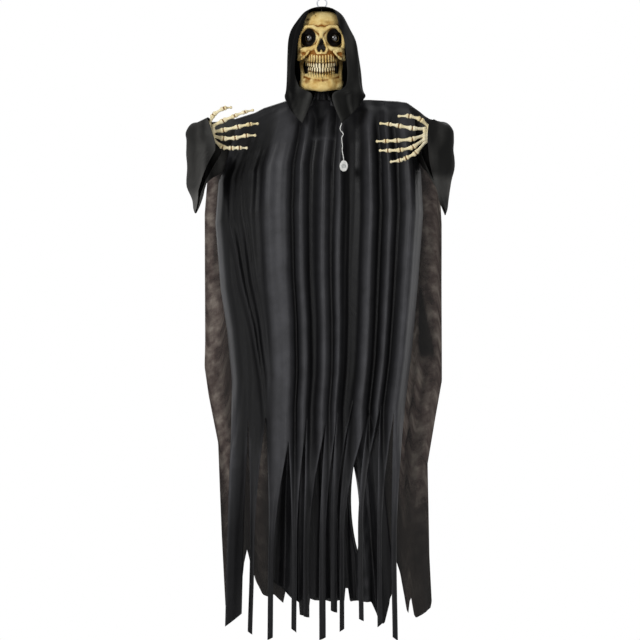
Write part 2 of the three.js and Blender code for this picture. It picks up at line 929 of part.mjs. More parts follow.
// Wrist fork: a plug in the end of the arm tube and two ears with the wrist pin through them.
function makeWrist(side, word, wrist, wrist_drop, seat, direction) {
  const ear_half = fork_gap / 2 + fork_ear;
  const start = seat.clone().addScaledVector(direction, gap);
  const pin_place = vec(wrist, -wrist_forward, -wrist_drop);
  const toward = pin_place.clone().sub(start);
  const neck_length = toward.length() - fork_width / 2 - 2 * gap;
  const neck = new THREE.CylinderGeometry(fork_width / 2, arm_tube / 2, neck_length, 12);
  neck.translate(0, neck_length / 2, 0);
  const turn = new THREE.Quaternion().setFromUnitVectors(vec(0, 1, 0), toward.clone().normalize());
  neck.applyQuaternion(turn).translate(start.x, start.y, start.z);
  const ear_back = start.y - neck_length / 2;
  const ears = [-1, 1].map((i) =>
    joined(
      span(
        wrist - fork_width / 2,
        wrist + fork_width / 2,
        -wrist_forward,
        ear_back,
        -wrist_drop + (i < 0 ? -ear_half : fork_gap / 2),
        -wrist_drop + (i < 0 ? -fork_gap / 2 : ear_half),
      ),
      post(
        fork_width,
        wrist,
        -wrist_forward,
        -wrist_drop + (i < 0 ? -ear_half : fork_gap / 2),
        -wrist_drop + (i < 0 ? -fork_gap / 2 : ear_half),
        12,
      ),
    ),
  );
  const hole = post(
    wrist_pin_diameter + 2 * gap,
    wrist,
    -wrist_forward,
    -wrist_drop - 2 * ear_half,
    -wrist_drop + 2 * ear_half,
    10,
  );
  add("wrist_fork_" + word, mirrored(without(joined(neck, ...ears), hole), side), black_plastic);
  const pin = joined(
    post(wrist_pin_diameter, wrist, -wrist_forward, -wrist_drop - ear_half, -wrist_drop + ear_half + gap, 10),
    post(
      2 * wrist_pin_diameter,
      wrist,
      -wrist_forward,
      -wrist_drop + ear_half + gap,
      -wrist_drop + ear_half + fork_ear,
      10,
    ),
  );
  add("wrist_pin_" + word, mirrored(pin, side), steel);
}

// Hands: finger joints from the knuckle to the tip, as shares of the hand's length towards the
// middle of the figure and upwards, from the photographed hands.
const left_finger_shares = [
  [[0.1, 0.08], [0.19, 0.279], [0.379, 0.395], [0.519, 0.415]],
  [[0.14, 0.06], [0.371, 0.172], [0.576, 0.255], [0.758, 0.329], [0.913, 0.369]],
  [[0.15, -0.03], [0.379, 0.0], [0.637, 0.057], [0.847, 0.108], [1.0, 0.124]],
  [[0.15, -0.09], [0.379, -0.155], [0.586, -0.146], [0.783, -0.096], [0.955, -0.089]],
  [[0.14, -0.13], [0.363, -0.312], [0.519, -0.328], [0.659, -0.318], [0.799, -0.318]],
];
const right_finger_shares = [
  [[0.1, 0.08], [0.256, 0.214], [0.45, 0.268], [0.631, 0.268]],
  [[0.14, 0.05], [0.399, 0.06], [0.625, 0.101], [0.786, 0.131], [0.94, 0.149]],
  [[0.15, -0.04], [0.399, -0.125], [0.655, -0.149], [0.839, -0.155], [1.0, -0.155]],
  [[0.15, -0.09], [0.387, -0.262], [0.601, -0.31], [0.804, -0.315], [0.946, -0.31]],
  [[0.14, -0.13], [0.339, -0.363], [0.503, -0.446], [0.607, -0.482], [0.762, -0.5]],
];
const finger_arch_shares = [0, -0.045, -0.06, -0.035, 0.02];
const knob_radius_share = 1.25;
const shaft_radius_share = 0.62;
const finger_taper_share = 0.1;

// One bone: a five-sided waisted bar with a knob at each end.
function boneBetween(from, to, radius) {
  const length = from.distanceTo(to);
  const knob = radius * knob_radius_share;
  const waist = radius * shaft_radius_share;
  const profile = [
    [0, -knob / 2],
    [knob, knob / 4],
    [waist, length / 2],
    [knob * (1 - finger_taper_share), length - knob / 4],
    [0, length + knob / 2],
  ];
  const bar = new THREE.LatheGeometry(profile.map(([r, h]) => new THREE.Vector2(r, h)), 5);
  const turn = new THREE.Quaternion().setFromUnitVectors(vec(0, 1, 0), to.clone().sub(from).normalize());
  return bar.applyQuaternion(turn).translate(from.x, from.y, from.z);
}

function makeHand(side, word, wrist, wrist_drop, length, fingers) {
  const place = ([inward, up], joint) =>
    vec(
      wrist - inward * length,
      -wrist_forward + finger_arch_shares[joint] * length,
      -wrist_drop + up * length,
    );
  const bones = [];
  for (const finger of fingers) {
    for (let joint = 0; joint + 1 < finger.length; joint++) {
      const radius = bone_radius * (1 - finger_taper_share * joint);
      bones.push(boneBetween(place(finger[joint], joint), place(finger[joint + 1], joint + 1), radius));
    }
  }
  const carpus = egg(
    carpus_length / 2,
    carpus_thickness / 2,
    carpus_height / 2,
    wrist - 0.6 * carpus_length,
    -wrist_forward,
    -wrist_drop,
    8,
    6,
  );
  const tongue_top = -wrist_drop + fork_gap / 2 - gap;
  const tongue_bottom = -wrist_drop - fork_gap / 2 + gap;
  const knuckle = post(fork_width, wrist, -wrist_forward, tongue_bottom, tongue_top, 12);
  const tongue = span(
    wrist - carpus_length / 2,
    wrist,
    -wrist_forward - fork_width / 3,
    -wrist_forward + fork_width / 3,
    tongue_bottom,
    tongue_top,
  );
  const clear = without(
    post(
      1.6 * fork_width,
      wrist,
      -wrist_forward,
      -wrist_drop - carpus_height,
      -wrist_drop + carpus_height,
      12,
    ),
    post(2 * fork_width, wrist, -wrist_forward, tongue_bottom, tongue_top, 12),
  );
  const hole = post(
    wrist_pin_diameter + 2 * gap,
    wrist,
    -wrist_forward,
    tongue_bottom - overrun,
    tongue_top + overrun,
    10,
  );
  const palm = without(joined(carpus, ...bones), clear);
  const hand = without(joined(palm, knuckle, tongue), hole);
  add("hand_" + word, mirrored(hand, side), hand_bone);
}

// Skull: overlapping egg shapes, hollowed out, with eye sockets and a nose opening, in a face half
// and a rear half. A lump is its half width, half depth and half height, then its side, its place to
// the front and its height over the eyes, all as shares of half the skull's width.
const cranium_centre = crown_top - cranium_height / 2;
const skull_half = skull_width / 2;
const nose_drop = (eye_drop + mouth_drop) / 2;
const ramus_outer = skull_half - 2.5 * skull_wall;
const jaw_shaft_half = skull_half - 2 * skull_wall;
const upper_tooth_top = -mouth_drop + tooth_height + 2 * gap;
const cheekbone_shares = [0.27, 0.48, 0.225, 0.74, 0.62, -0.76];
const brow_shares = [0.42, 0.225, 0.17, 0.42, 1.015, 0.366];
const upper_jaw_shares = [0.7, 0.56, 0.42, 0, 0.76, -0.62];
const nose_bridge_shares = [0.14, 0.2, 0.31, 0, 1.18, -0.113];
const temple_hollow_shares = [0.14, 0.31, 0.21, 0.98, 0.73, -0.17];
const jaw_joint_shares = [0.31, 0.45, 0.39];
const nose_opening_shares = [
  [-0.183, 0],
  [0.183, 0],
  [0.1, 0.366],
  [0, 0.577],
  [-0.1, 0.366],
];

function lump([wide, deep, high, side, forward, up], hand = 1) {
  return egg(
    wide * skull_half,
    deep * skull_half,
    high * skull_half,
    hand * side * skull_half,
    -forward * skull_half,
    -eye_drop + up * skull_half,
  );
}

function skullForm() {
  const pieces = [egg(skull_half, cranium_depth / 2, cranium_height / 2, 0, 0, cranium_centre, 18, 12)];
  const [joint_wide, joint_deep, joint_high] = jaw_joint_shares.map((share) => share * skull_half);
  for (const side of [-1, 1]) {
    pieces.push(lump(cheekbone_shares, side));
    pieces.push(lump(brow_shares, side));
    const joint_side = side * (ramus_outer - ramus_thickness - running);
    pieces.push(egg(
      joint_wide,
      joint_deep,
      joint_high,
      joint_side,
      jaw_axis_back,
      -jaw_axis_drop + skull_wall,
    ));
  }
  pieces.push(lump(upper_jaw_shares));
  const ridge_height = 2 * tooth_height;
  pieces.push(egg(
    mouth_width / 2,
    0.86 * mouth_depth,
    ridge_height,
    0,
    -mouth_front + mouth_depth,
    -face_drop + skull_wall,
  ));
  pieces.push(lump(nose_bridge_shares));
  return joined(...pieces);
}

function noseCut() {
  const outline = polygon(nose_opening_shares.map(([x, y]) => [x * skull_half, y * skull_half]));
  const cut = new THREE.ExtrudeGeometry(outline, { depth: socket_depth, bevelEnabled: false });
  return cut.rotateX(Math.PI / 2).translate(0, -mouth_front + 0.8 * socket_depth, -nose_drop);
}

function skullCutters() {
  const cutters = [noseCut()];
  for (const side of [-1, 1]) {
    const x = (side * eye_spacing) / 2;
    cutters.push(egg(
      socket_width / 2,
      socket_depth / 2,
      socket_height / 2,
      x,
      -socket_forward,
      -eye_drop,
      12,
      8,
    ));
    cutters.push(plunger(led_diameter + 2 * gap, -lens_forward - led_length, 0, x, -eye_drop, 8));
    cutters.push(lump(temple_hollow_shares, side));
  }
  const wall = skull_wall;
  cutters.push(
    egg(
      skull_half - wall,
      cranium_depth / 2 - 4 * wall,
      cranium_height / 2 - wall,
      0,
      3 * wall,
      cranium_centre,
      12,
      8,
    ),
  );
  const ramus_room = ramus_outer + running;
  cutters.push(span(
    -ramus_room,
    ramus_room,
    -4 * wall,
    cranium_depth,
    -chin_drop,
    -jaw_axis_drop + 4 * wall,
  ));
  cutters.push(span(-skull_width, skull_width, -6 * wall, cranium_depth, -chin_drop, -face_drop + 2 * wall));
  cutters.push(span(
    -skull_width,
    skull_width,
    -cranium_depth,
    cranium_depth,
    -chin_drop,
    upper_tooth_top + gap,
  ));
  cutters.push(post(eye_shank_diameter + 4 * gap, 0, 0, cranium_centre, 0, 12));
  cutters.push(post(washer_diameter + 2 * gap, 0, 0, cranium_centre, washer_top + gap, 20));
  return cutters;
}

function makeSkull() {
  const form = without(skullForm(), ...skullCutters());
  const face_side = span(-skull_width, skull_width, -cranium_depth, skull_split - gap, -chin_drop, 0);
  const rear_side = span(-skull_width, skull_width, skull_split, cranium_depth, -chin_drop, 0);
  add("skull_face", common(form, face_side), bone);
  const reach = jaw_shaft_half + running;
  const shaft_hole = shaft(
    jaw_shaft_diameter + 2 * running,
    -reach,
    reach,
    jaw_axis_back,
    -jaw_axis_drop,
    12,
  );
  add("skull_back", without(common(form, rear_side), shaft_hole), bone);
}

// Tooth row: a curved strip whose front edge bulges at each tooth.
const tooth_gap_share = 0.8;

function toothRow(z0, z1) {
  const outer = [];
  const inner = [];
  const steps = 4 * tooth_count;
  for (let i = 0; i <= steps; i++) {
    const angle = (Math.PI * i) / steps;
    const valley = i % 4 === 0 ? 1 - tooth_gap_share : 0;
    const grow = -valley * tooth_depth;
    outer.push([(mouth_width / 2 + grow) * Math.cos(angle), -(mouth_depth + grow) * Math.sin(angle)]);
    if (i % 4 === 0) {
      const x = (mouth_width / 2 - tooth_depth) * Math.cos(angle);
      inner.unshift([x, -(mouth_depth - tooth_depth) * Math.sin(angle)]);
    }
  }
  const strip = plate(polygon([...outer, ...inner]), z1 - z0, z0);
  return strip.translate(0, -mouth_front + mouth_depth, 0);
}

function makeUpperTeeth() {
  add("upper_teeth", toothRow(-mouth_drop + gap, upper_tooth_top - gap), tooth);
}

// Lower jaw: the side outline of chin and rami, pressed through the horseshoe plan of the jaw.
const lower_tooth_top = -mouth_drop - gap;
const lower_tooth_bottom = lower_tooth_top - tooth_height;

function makeJaw() {
  const side_outline = polygon([
    [jaw_axis_back + jaw_lobe, -jaw_axis_drop + jaw_lobe],
    [jaw_axis_back + 1.4 * jaw_lobe, -jaw_axis_drop - 2 * jaw_lobe],
    [jaw_axis_back - 0.8 * jaw_lobe, -chin_drop + 2.4 * jaw_lobe],
    [-0.3 * chin_forward, -chin_drop + 0.8 * jaw_lobe],
    [-0.86 * chin_forward, -chin_drop],
    [-chin_forward, -chin_drop + 1.2 * jaw_lobe],
    [-0.98 * chin_forward, lower_tooth_bottom - gap],
    [-0.3 * chin_forward, lower_tooth_bottom - gap],
    [-0.12 * chin_forward, -jaw_axis_drop - 2.6 * jaw_lobe],
    [jaw_axis_back - 1.2 * jaw_lobe, -jaw_axis_drop + 0.6 * jaw_lobe],
  ]);
  const slab = new THREE.ExtrudeGeometry(side_outline, { depth: jaw_width, bevelEnabled: false });
  slab.applyMatrix4(new THREE.Matrix4().makeBasis(vec(0, 1, 0), vec(0, 0, 1), vec(1, 0, 0)));
  slab.translate(-jaw_width / 2, 0, 0);
  const outer = [];
  const inner = [];
  const steps = 14;
  const back = jaw_axis_back + 1.6 * jaw_lobe;
  const length = chin_forward + back;
  for (let i = 0; i <= steps; i++) {
    const angle = (Math.PI * i) / steps;
    const x = Math.sign(Math.cos(angle)) * Math.sqrt(Math.abs(Math.cos(angle)));
    outer.push([ramus_outer * x, back - length * Math.sin(angle)]);
    const inner_length = length - 1.6 * ramus_thickness;
    inner.unshift([(ramus_outer - ramus_thickness) * x, back - inner_length * Math.sin(angle)]);
  }
  const plan = plate(
    polygon([...outer, ...inner]),
    chin_drop - jaw_axis_drop + 4 * jaw_lobe,
    -chin_drop - jaw_lobe,
  );
  const hole = shaft(
    jaw_shaft_diameter + 2 * gap,
    -skull_width,
    skull_width,
    jaw_axis_back,
    -jaw_axis_drop,
    12,
  );
  add("lower_jaw", without(common(slab, plan), hole), bone);
  add("lower_teeth", toothRow(lower_tooth_bottom, lower_tooth_top), tooth);
  add(
    "jaw_shaft",
    shaft(jaw_shaft_diameter, -jaw_shaft_half, jaw_shaft_half, jaw_axis_back, -jaw_axis_drop, 12),
    steel,
  );
}

// Jaw drive: a toothed sector on the jaw shaft and a small gearmotor behind the neck post.
function makeJawDrive() {
  const first = -Math.floor(sector_teeth / 2);
  const last = Math.floor(sector_teeth / 2);
  const hub = jaw_shaft_diameter + gear_boss;
  const sector_shape = gearShape(crank_teeth, 0, first, last, hub);
  sector_shape.holes.push(circle(jaw_shaft_diameter / 2 + gap, 12));
  const turn = new THREE.Matrix4().makeBasis(vec(0, 1, 0), vec(0, 0, 1), vec(1, 0, 0));
  const sector = plate(sector_shape, gear_thickness, 0).applyMatrix4(turn);
  add("jaw_sector", sector.translate(sector_offset, jaw_axis_back, -jaw_axis_drop), gear_plastic);
  const motor_y = jaw_axis_back + crank_pitch_radius + pinion_pitch_radius;
  const pinion_shape = gearShape(pinion_teeth, Math.PI / pinion_teeth);
  pinion_shape.holes.push(circle(motor_shaft_diameter / 2 + gap, 10));
  const pinion = plate(pinion_shape, gear_thickness, 0).applyMatrix4(turn);
  add("jaw_pinion", pinion.translate(sector_offset, motor_y, -jaw_axis_drop), gear_plastic);
  const motor_end = sector_offset - 2 * gap;
  const motor = joined(
    shaft(jaw_motor_diameter, motor_end - jaw_motor_length, motor_end, motor_y, -jaw_axis_drop, 14),
    shaft(
      motor_shaft_diameter,
      motor_end - overrun,
      sector_offset + gear_thickness,
      motor_y,
      -jaw_axis_drop,
      10,
    ),
  );
  add("jaw_motor", motor, steel);
}

// Eyes: dark domed lenses that seat in the sockets, each with a light-emitting diode behind it.
function makeEye(side, word) {
  const x = (side * eye_spacing) / 2;
  const seat = egg(
    socket_width / 2 - gap,
    socket_depth / 2 - gap,
    socket_height / 2 - gap,
    x,
    -socket_forward,
    -eye_drop,
    12,
    8,
  );
  const dome = egg(lens_radius, lens_radius, lens_radius, x, -lens_forward, -eye_drop, 12, 8);
  const lens_back = -lens_forward - skull_wall / 2;
  const lens_room = span(-skull_width, skull_width, -cranium_depth, lens_back - gap, -chin_drop, 0);
  add("eye_lens_" + word, common(common(seat, dome), lens_room), eye_glass);
  add(
    "eye_led_" + word,
    plunger(led_diameter, lens_back, lens_back + led_length, x, -eye_drop, 8),
    white_plastic,
  );
}

// Hood: arcs from the face opening to the seam at the back of the head. Each row is one arc, from
// the crown down to the hem, as shares of hood_half_width, hood_depth and hood_length.
const hood_arc_shares = [
  [
    [0, -0.8, 0.035],
    [0.33, -0.84, 0.055],
    [0.51, -0.9, 0.22],
    [0.62, -0.86, 0.43],
    [0.58, -0.88, 0.7],
    [0.43, -1.02, 0.81],
    [0.55, -1.04, 1],
  ],
  [
    [0, -0.6, 0.008],
    [0.46, -0.64, 0.06],
    [0.77, -0.62, 0.22],
    [0.9, -0.58, 0.43],
    [0.96, -0.58, 0.7],
    [1, -0.66, 0.8],
    [0.92, -0.78, 0.94],
  ],
  [
    [0, 0, 0],
    [0.47, 0, 0.048],
    [0.8, 0, 0.22],
    [0.92, 0, 0.43],
    [1, 0, 0.7],
    [1.03, -0.04, 0.765],
    [1.05, -0.06, 0.795],
  ],
  [
    [0, 0.6, 0.04],
    [0.36, 0.64, 0.09],
    [0.62, 0.68, 0.22],
    [0.74, 0.72, 0.43],
    [0.78, 0.76, 0.7],
    [0.82, 0.76, 0.8],
    [0.84, 0.78, 0.88],
  ],
  [
    [0, 0.86, 0.12],
    [0, 0.92, 0.18],
    [0, 0.98, 0.27],
    [0, 1, 0.43],
    [0, 1, 0.7],
    [0, 0.92, 0.81],
    [0, 0.84, 0.92],
  ],
];
const hood_rows = 8;
const hood_columns = 24;

function hoodPoint(row, column) {
  const t = Math.abs((2 * column) / hood_columns - 1);
  const side = 2 * column < hood_columns ? -1 : 1;
  const [x, y, z] = [0, 1, 2].map((axis) => {
    const arcs = hood_arc_shares.map((arc) => smooth(arc.map((knot) => knot[axis]), t));
    return smooth(arcs, row / hood_rows);
  });
  return vec(side * x * hood_half_width, y * hood_depth, -hood_top - z * hood_length);
}

function makeHood() {
  const patches = patchesOf(hood_rows, hood_columns, (r, c) => hoodPoint(hood_rows - r, c));
  const shell = clothSolid(patches, cloth);
  const eyelet = post(eye_shank_diameter + 6 * gap, 0, 0, -hood_top - 4 * cloth, -hood_top + 4 * cloth, 10);
  add("hood", without(shell, eyelet), satin);
}

// Robe front: side edges, fold line, slits and tapering strips, as shares chosen from the photograph.
const robe_row_shares = [0, 0.03, 0.07, 0.13, 0.22, 0.34, 0.46, 0.565, 0.6, 0.64, 0.74, 0.87, 1];
const robe_left_shares = [
  [0, -0.8],
  [0.03, -0.8],
  [0.07, -0.86],
  [0.12, -0.96],
  [0.2, -0.99],
  [0.33, -0.94],
  [0.41, -0.88],
  [0.51, -0.835],
  [0.6, -0.825],
  [1, -0.81],
];
const robe_right_shares = [
  [0, 0.85],
  [0.05, 0.86],
  [0.12, 0.92],
  [0.2, 0.94],
  [0.34, 0.89],
  [0.48, 0.825],
  [0.57, 0.762],
  [0.6, 0.76],
  [1, 0.79],
];
const strip_edge_shares = [0, 0.1, 0.2, 0.335, 0.436, 0.547, 0.613, 0.698, 0.795, 0.859, 0.934, 1];
const strip_foot_shares = [0.055, 0.094, 0.21, 0.34, 0.417, 0.508, 0.572, 0.62, 0.727, 0.84, 0.925];
const strip_length_shares = [0.99, 0.99, 1, 0.985, 0.96, 1, 0.95, 0.985, 0.965, 0.975, 1];
const strip_width_shares = [0.02, 0.022, 0.024, 0.022, 0.026, 0.03, 0.03, 0.02, 0.022, 0.02, 0.02];
const slit_rows = [8, 8, 9, 8, 8, 8, 7, 7, 7, 7];
const strip_taper_share = 0.85;
const columns_per_strip = 3;
const last_slit_row = Math.max(...slit_rows);
const fold_shares = [
  0.2, -0.5, -0.8, -0.9, -0.7, -0.3, 0.5, 0.8, 1, -0.7, 0.3, 0.6, -0.7, 0.3, 0.9, -0.6, -0.3,
  0.8, -0.2, -0.8, -0.9, -0.4, 0.2, 0.8, -0.3, -0.8, 0, 0.7, -0.3, -0.8, 0, 0.5, 0.7, 0.2,
];
const robe_depth_shares = [
  [0, 0],
  [0.02, 0.46],
  [0.045, 0.7],
  [0.08, 0.9],
  [0.13, 1],
  [0.6, 1],
  [1, 0.86],
];
const fold_growth_shares = [
  [0, 0.1],
  [0.05, 0.3],
  [0.12, 0.7],
  [0.3, 1],
  [0.55, 1],
  [0.7, 0.5],
  [1, 0.25],
];

// Below the sleeves the side edges of the robe's front and back curl towards each other, so that the
// robe closes round the figure: depth left at a share of the width, and the curl's strength down the
// robe.
const edge_curl_shares = [
  [0, 0.08],
  [0.034, 0.6],
  [0.067, 0.86],
  [0.1, 1],
  [0.93, 1],
  [0.956, 0.86],
  [0.978, 0.6],
  [1, 0.08],
];
const curl_reach_shares = [
  [0.09, 0],
  [0.13, 1],
  [0.5, 1],
  [0.68, 0],
];

function edgeCurl(share, hung) {
  return 1 + (along(edge_curl_shares, share) - 1) * along(curl_reach_shares, hung);
}

// How far the neckline is drawn forward or back at a distance x from the neck.
function scoop(x) {
  const share = Math.min(Math.abs(x) / (2 * neck_scoop), 1);
  return neck_scoop * (1 + Math.cos(Math.PI * share)) / 2;
}

function robePoint(row, column, strip) {
  const strips = strip_foot_shares.length;
  const slit_before = strip > 0 ? slit_rows[strip - 1] : robe_row_shares.length;
  const slit_after = strip < strips - 1 ? slit_rows[strip] : robe_row_shares.length;
  const within = (column - strip * columns_per_strip) / columns_per_strip;
  const lower = strip_edge_shares[strip];
  const upper = strip_edge_shares[strip + 1];
  const hung = robe_row_shares[row];
  const start = robe_row_shares[Math.min(slit_before, slit_after, last_slit_row)];
  let share = lower + (upper - lower) * within;
  const first_free = Math.min(slit_before, slit_after);
  if (hung > start) {
    const run = (hung - start) / (1 - start);
    const foot = strip_foot_shares[strip] + strip_width_shares[strip] * (within - 0.5);
    const free_left = strip === 0 || row > slit_before;
    const free_right = strip === strips - 1 || row > slit_after;
    const free = within === 0 ? free_left : within === 1 ? free_right : row > first_free;
    if (free) {
      share += (foot - share) * Math.pow(run, strip_taper_share);
    }
  }
  const length = strip_length_shares[strip];
  const shared_length = hung > start ? 1 + (length - 1) * ((hung - start) / (1 - start)) : 1;
  const left = along(robe_left_shares, hung) * robe_half_width;
  const right = along(robe_right_shares, hung) * robe_half_width;
  const x = left + (right - left) * share;
  const crest_left = along(robe_left_shares, 0) * robe_half_width;
  const crest_right = along(robe_right_shares, 0) * robe_half_width;
  const crest_x = crest_left + (crest_right - crest_left) * share;
  const top = shoulderDrop(crest_x);
  const z = -top - (figure_drop - top) * hung * shared_length;
  const fold = fold_shares[column] * fold_depth * along(fold_growth_shares, hung);
  const crest = crestOffset(crest_x) + cloth + scoop(crest_x);
  const curl = edgeCurl(lower + (upper - lower) * within, hung);
  const hanging = (robe_forward * along(robe_depth_shares, hung) + fold) * curl;
  const depth = hung < curl_reach_shares[0][0] ? Math.max(crest, hanging) : hanging;
  return vec(x, -depth, z);
}

function makeRobeFront() {
  const patches = [];
  const rows = robe_row_shares.length - 1;
  for (let strip = 0; strip < strip_foot_shares.length; strip++) {
    for (let c = 0; c < columns_per_strip; c++) {
      const column = strip * columns_per_strip + c;
      for (let r = 0; r < rows; r++) {
        patches.push([
          robePoint(r, column, strip),
          robePoint(r, column + 1, strip),
          robePoint(r + 1, column + 1, strip),
          robePoint(r + 1, column, strip),
        ]);
      }
    }
  }
  add("robe_front", clothSolid(patches, cloth), satin);
}

// Hanging panels behind the figure: the robe's back and the sheer cape behind it, each with soft
// folds, side edges and a torn hem given as shares.
const panel_rows = 10;
const panel_columns = 20;
const panel_folds = 7;
const row_spread_share = 1.35;
const wave_start_share = 0.1;
const cape_left_shares = [
  [0, -0.73],
  [0.1, -0.78],
  [0.18, -0.985],
  [0.45, -0.98],
  [0.56, -0.95],
  [0.66, -0.87],
  [0.85, -0.84],
  [1, -0.81],
];
const cape_right_shares = [
  [0, 0.776],
  [0.1, 0.78],
  [0.18, 1.005],
  [0.52, 1.005],
  [0.6, 0.95],
  [0.7, 0.885],
  [0.9, 0.9],
  [1, 0.92],
];
const cape_hem_shares = [
  1, 0.985, 0.93, 0.9, 0.955, 0.965, 0.95, 0.97, 0.965, 0.95, 0.94, 0.965, 0.97, 0.96, 0.965,
  0.955, 0.93, 0.9, 0.95, 0.985, 0.98,
];
const back_left_shares = [
  [0, -0.8],
  [0.05, -0.84],
  [0.12, -0.93],
  [0.2, -0.96],
  [0.33, -0.91],
  [0.5, -0.81],
  [0.58, -0.62],
  [0.68, -0.42],
  [1, -0.5],
];
const back_right_shares = [
  [0, 0.85],
  [0.05, 0.86],
  [0.12, 0.9],
  [0.2, 0.91],
  [0.34, 0.86],
  [0.5, 0.79],
  [0.58, 0.66],
  [0.68, 0.52],
  [1, 0.6],
];
const back_hem_shares = [
  0.93, 0.95, 0.94, 0.955, 0.95, 0.96, 0.95, 0.94, 0.955, 0.96, 0.95, 0.94, 0.95, 0.96, 0.945,
  0.955, 0.95, 0.94, 0.95, 0.94, 0.93,
];
const back_depth_shares = [
  [0, 0],
  [0.02, 0.5],
  [0.05, 0.78],
  [0.085, 0.97],
  [0.12, 1],
  [1, 0.9],
];
const panel_length = figure_drop - robe_neck_drop - cape_rise;

function hangingPanel(panel) {
  const point = (row, column) => {
    const hung = Math.pow(row / panel_rows, row_spread_share);
    const share = column / panel_columns;
    const left = along(panel.left_shares, hung) * panel.half_width;
    const right = along(panel.right_shares, hung) * panel.half_width;
    const crest_left = along(panel.left_shares, 0) * panel.half_width;
    const crest_right = along(panel.right_shares, 0) * panel.half_width;
    const crest_x = crest_right + (crest_left - crest_right) * share;
    const top = shoulderDrop(crest_x);
    const hem_here = panel.hem_shares[panel_columns - column];
    const z = -top - (panel_length + robe_neck_drop - top) * hung * (1 + (hem_here - 1) * hung);
    const grown = Math.min(panel_folds * hung, 1) * Math.min(hung / wave_start_share, 1);
    const wave = Math.cos(2 * Math.PI * panel_folds * share) * panel.fold * grown;
    const curl = panel.curled ? edgeCurl(share, hung) : 1;
    const hanging = (panel.set_back * along(back_depth_shares, hung) + wave) * curl;
    const crest = crestOffset(crest_x) + panel.crest + scoop(crest_x);
    const depth = hung < curl_reach_shares[0][0] ? Math.max(crest, hanging) : hanging;
    return vec(right + (left - right) * share, depth, z);
  };
  return patchesOf(panel_rows, panel_columns, point);
}

function makeBackAndCape() {
  const back = hangingPanel({
    half_width: robe_half_width,
    left_shares: back_left_shares,
    right_shares: back_right_shares,
    hem_shares: back_hem_shares,
    set_back: robe_back_set,
    crest: cloth + gap,
    fold: back_fold,
    curled: true,
  });
  add("robe_back", clothSolid(back, cloth), satin);
  const cape = hangingPanel({
    half_width: cape_half_width,
    left_shares: cape_left_shares,
    right_shares: cape_right_shares,
    hem_shares: cape_hem_shares,
    set_back: cape_back,
    crest: cloth + layer_pitch,
    fold: cape_fold,
    curled: false,
  });
  add("gauze_cape", clothSolid(cape, cloth), gauze);
}

// Sleeves: a bell of cloth from the armhole round the elbow to a long drooping cuff. Each station is
// one loop: how far its middle is beyond the shoulder and to the front, how far its top rises over
// the arm, its drop, its half width and the slant of its lower part. Headings turn a loop's width
// away from the fore-and-aft line, in degrees.
const sleeve_station_shares = [
  { out: 0.16, front: 0, lift: 0, drop: 0.26, half: 0.85, slant: 0 },
  { out: 0.55, front: 0, lift: 0, drop: 0.42, half: 0.98, slant: 0 },
  { out: 0.9, front: 0.05, lift: 0.15, drop: 0.68, half: 0.95, slant: 0 },
  { out: 0.96, front: 0.4, lift: 0.22, drop: 0.87, half: 0.78, slant: 0.1 },
  { out: 0.85, front: 0.75, lift: 0.45, drop: 0.97, half: 0.98, slant: 0.5 },
  { out: 0.58, front: 1.06, lift: 1.4, drop: 1, half: 1, slant: 1 },
];
const sleeve_headings = [0, 0, 38, 88, 118, 165];
const sleeve_loop_shares = [
  [0, 0],
  [0.5, 0.03],
  [0.92, 0.14],
  [1, 0.32],
  [0.86, 0.56],
  [0.5, 0.82],
  [0, 1],
  [-0.5, 0.82],
  [-0.86, 0.56],
  [-1, 0.32],
  [-0.92, 0.14],
  [-0.5, 0.03],
];
const cuff_slant_shares = [
  [0, 0],
  [0.24, -0.2],
  [0.35, -0.23],
  [0.51, 0],
  [0.68, 0.21],
  [0.8, 0.4],
  [1, 0.48],
];
const sleeve_rows = 10;

function sleeveLoops(elbow, wrist_drop) {
  const reach = elbow - shoulder_half_span;
  return (row, column) => {
    const t = row / sleeve_rows;
    const pick = (key) => smooth(sleeve_station_shares.map((station) => station[key]), t);
    const [across, down] = sleeve_loop_shares[column % sleeve_loop_shares.length];
    const heading = THREE.MathUtils.degToRad(smooth(sleeve_headings, t));
    const half = (pick("half") * sleeve_width) / 2;
    const slant = along(cuff_slant_shares, down) * pick("slant") * reach;
    const x = shoulder_half_span + pick("out") * reach + across * half * Math.sin(heading) + slant;
    const y = -pick("front") * wrist_forward + across * half * Math.cos(heading);
    const arm_here = arm_drop + (wrist_drop - arm_drop) * pick("front");
    const top = -arm_here + arm_tube / 2 + gap + cloth + pick("lift") * arm_tube;
    return vec(x, y, top - down * pick("drop") * sleeve_drop);
  };
}

function makeSleeve(side, word, elbow, wrist_drop) {
  const point = sleeveLoops(elbow, wrist_drop);
  const patches = patchesOf(sleeve_rows, sleeve_loop_shares.length, point);
  add("sleeve_" + word, mirrored(clothSolid(patches, cloth), side), satin);
}

// Try-me lead: a thin twisted lead from an eyelet under the hood's lapel to a push-button pendant.
const lead_route = [
  [54.6, -56.4, -346],
  [54.8, -61, -347],
  [55.4, -72, -351],
  [56, -86, -359],
  [56.6, -98, -368],
  [55.4, -105, -378],
  [52, -107, -388],
  [53.5, -108, -396],
  [59, -109, -402],
  [60.5, -108, -408],
  [57, -110, -414],
  [56.4, -111, -424],
  [58.4, -110, -438],
  [57.6, -112, -452],
  [60.2, -111, -468],
  [62, -112, -481.7],
];

function makeLead() {
  const [side, forward, drop] = lead_route[0];
  const eyelet_front = forward + gap;
  add(
    "lead_eyelet",
    plunger(grommet_diameter, eyelet_front, eyelet_front + grommet_thickness, side, drop, 14),
    grey_plastic,
  );
  const points = lead_route.map(([x, y, z]) => vec(x, y, z));
  add("try_me_lead", wire(points, lead_diameter, 28, 8), white_plastic);
}

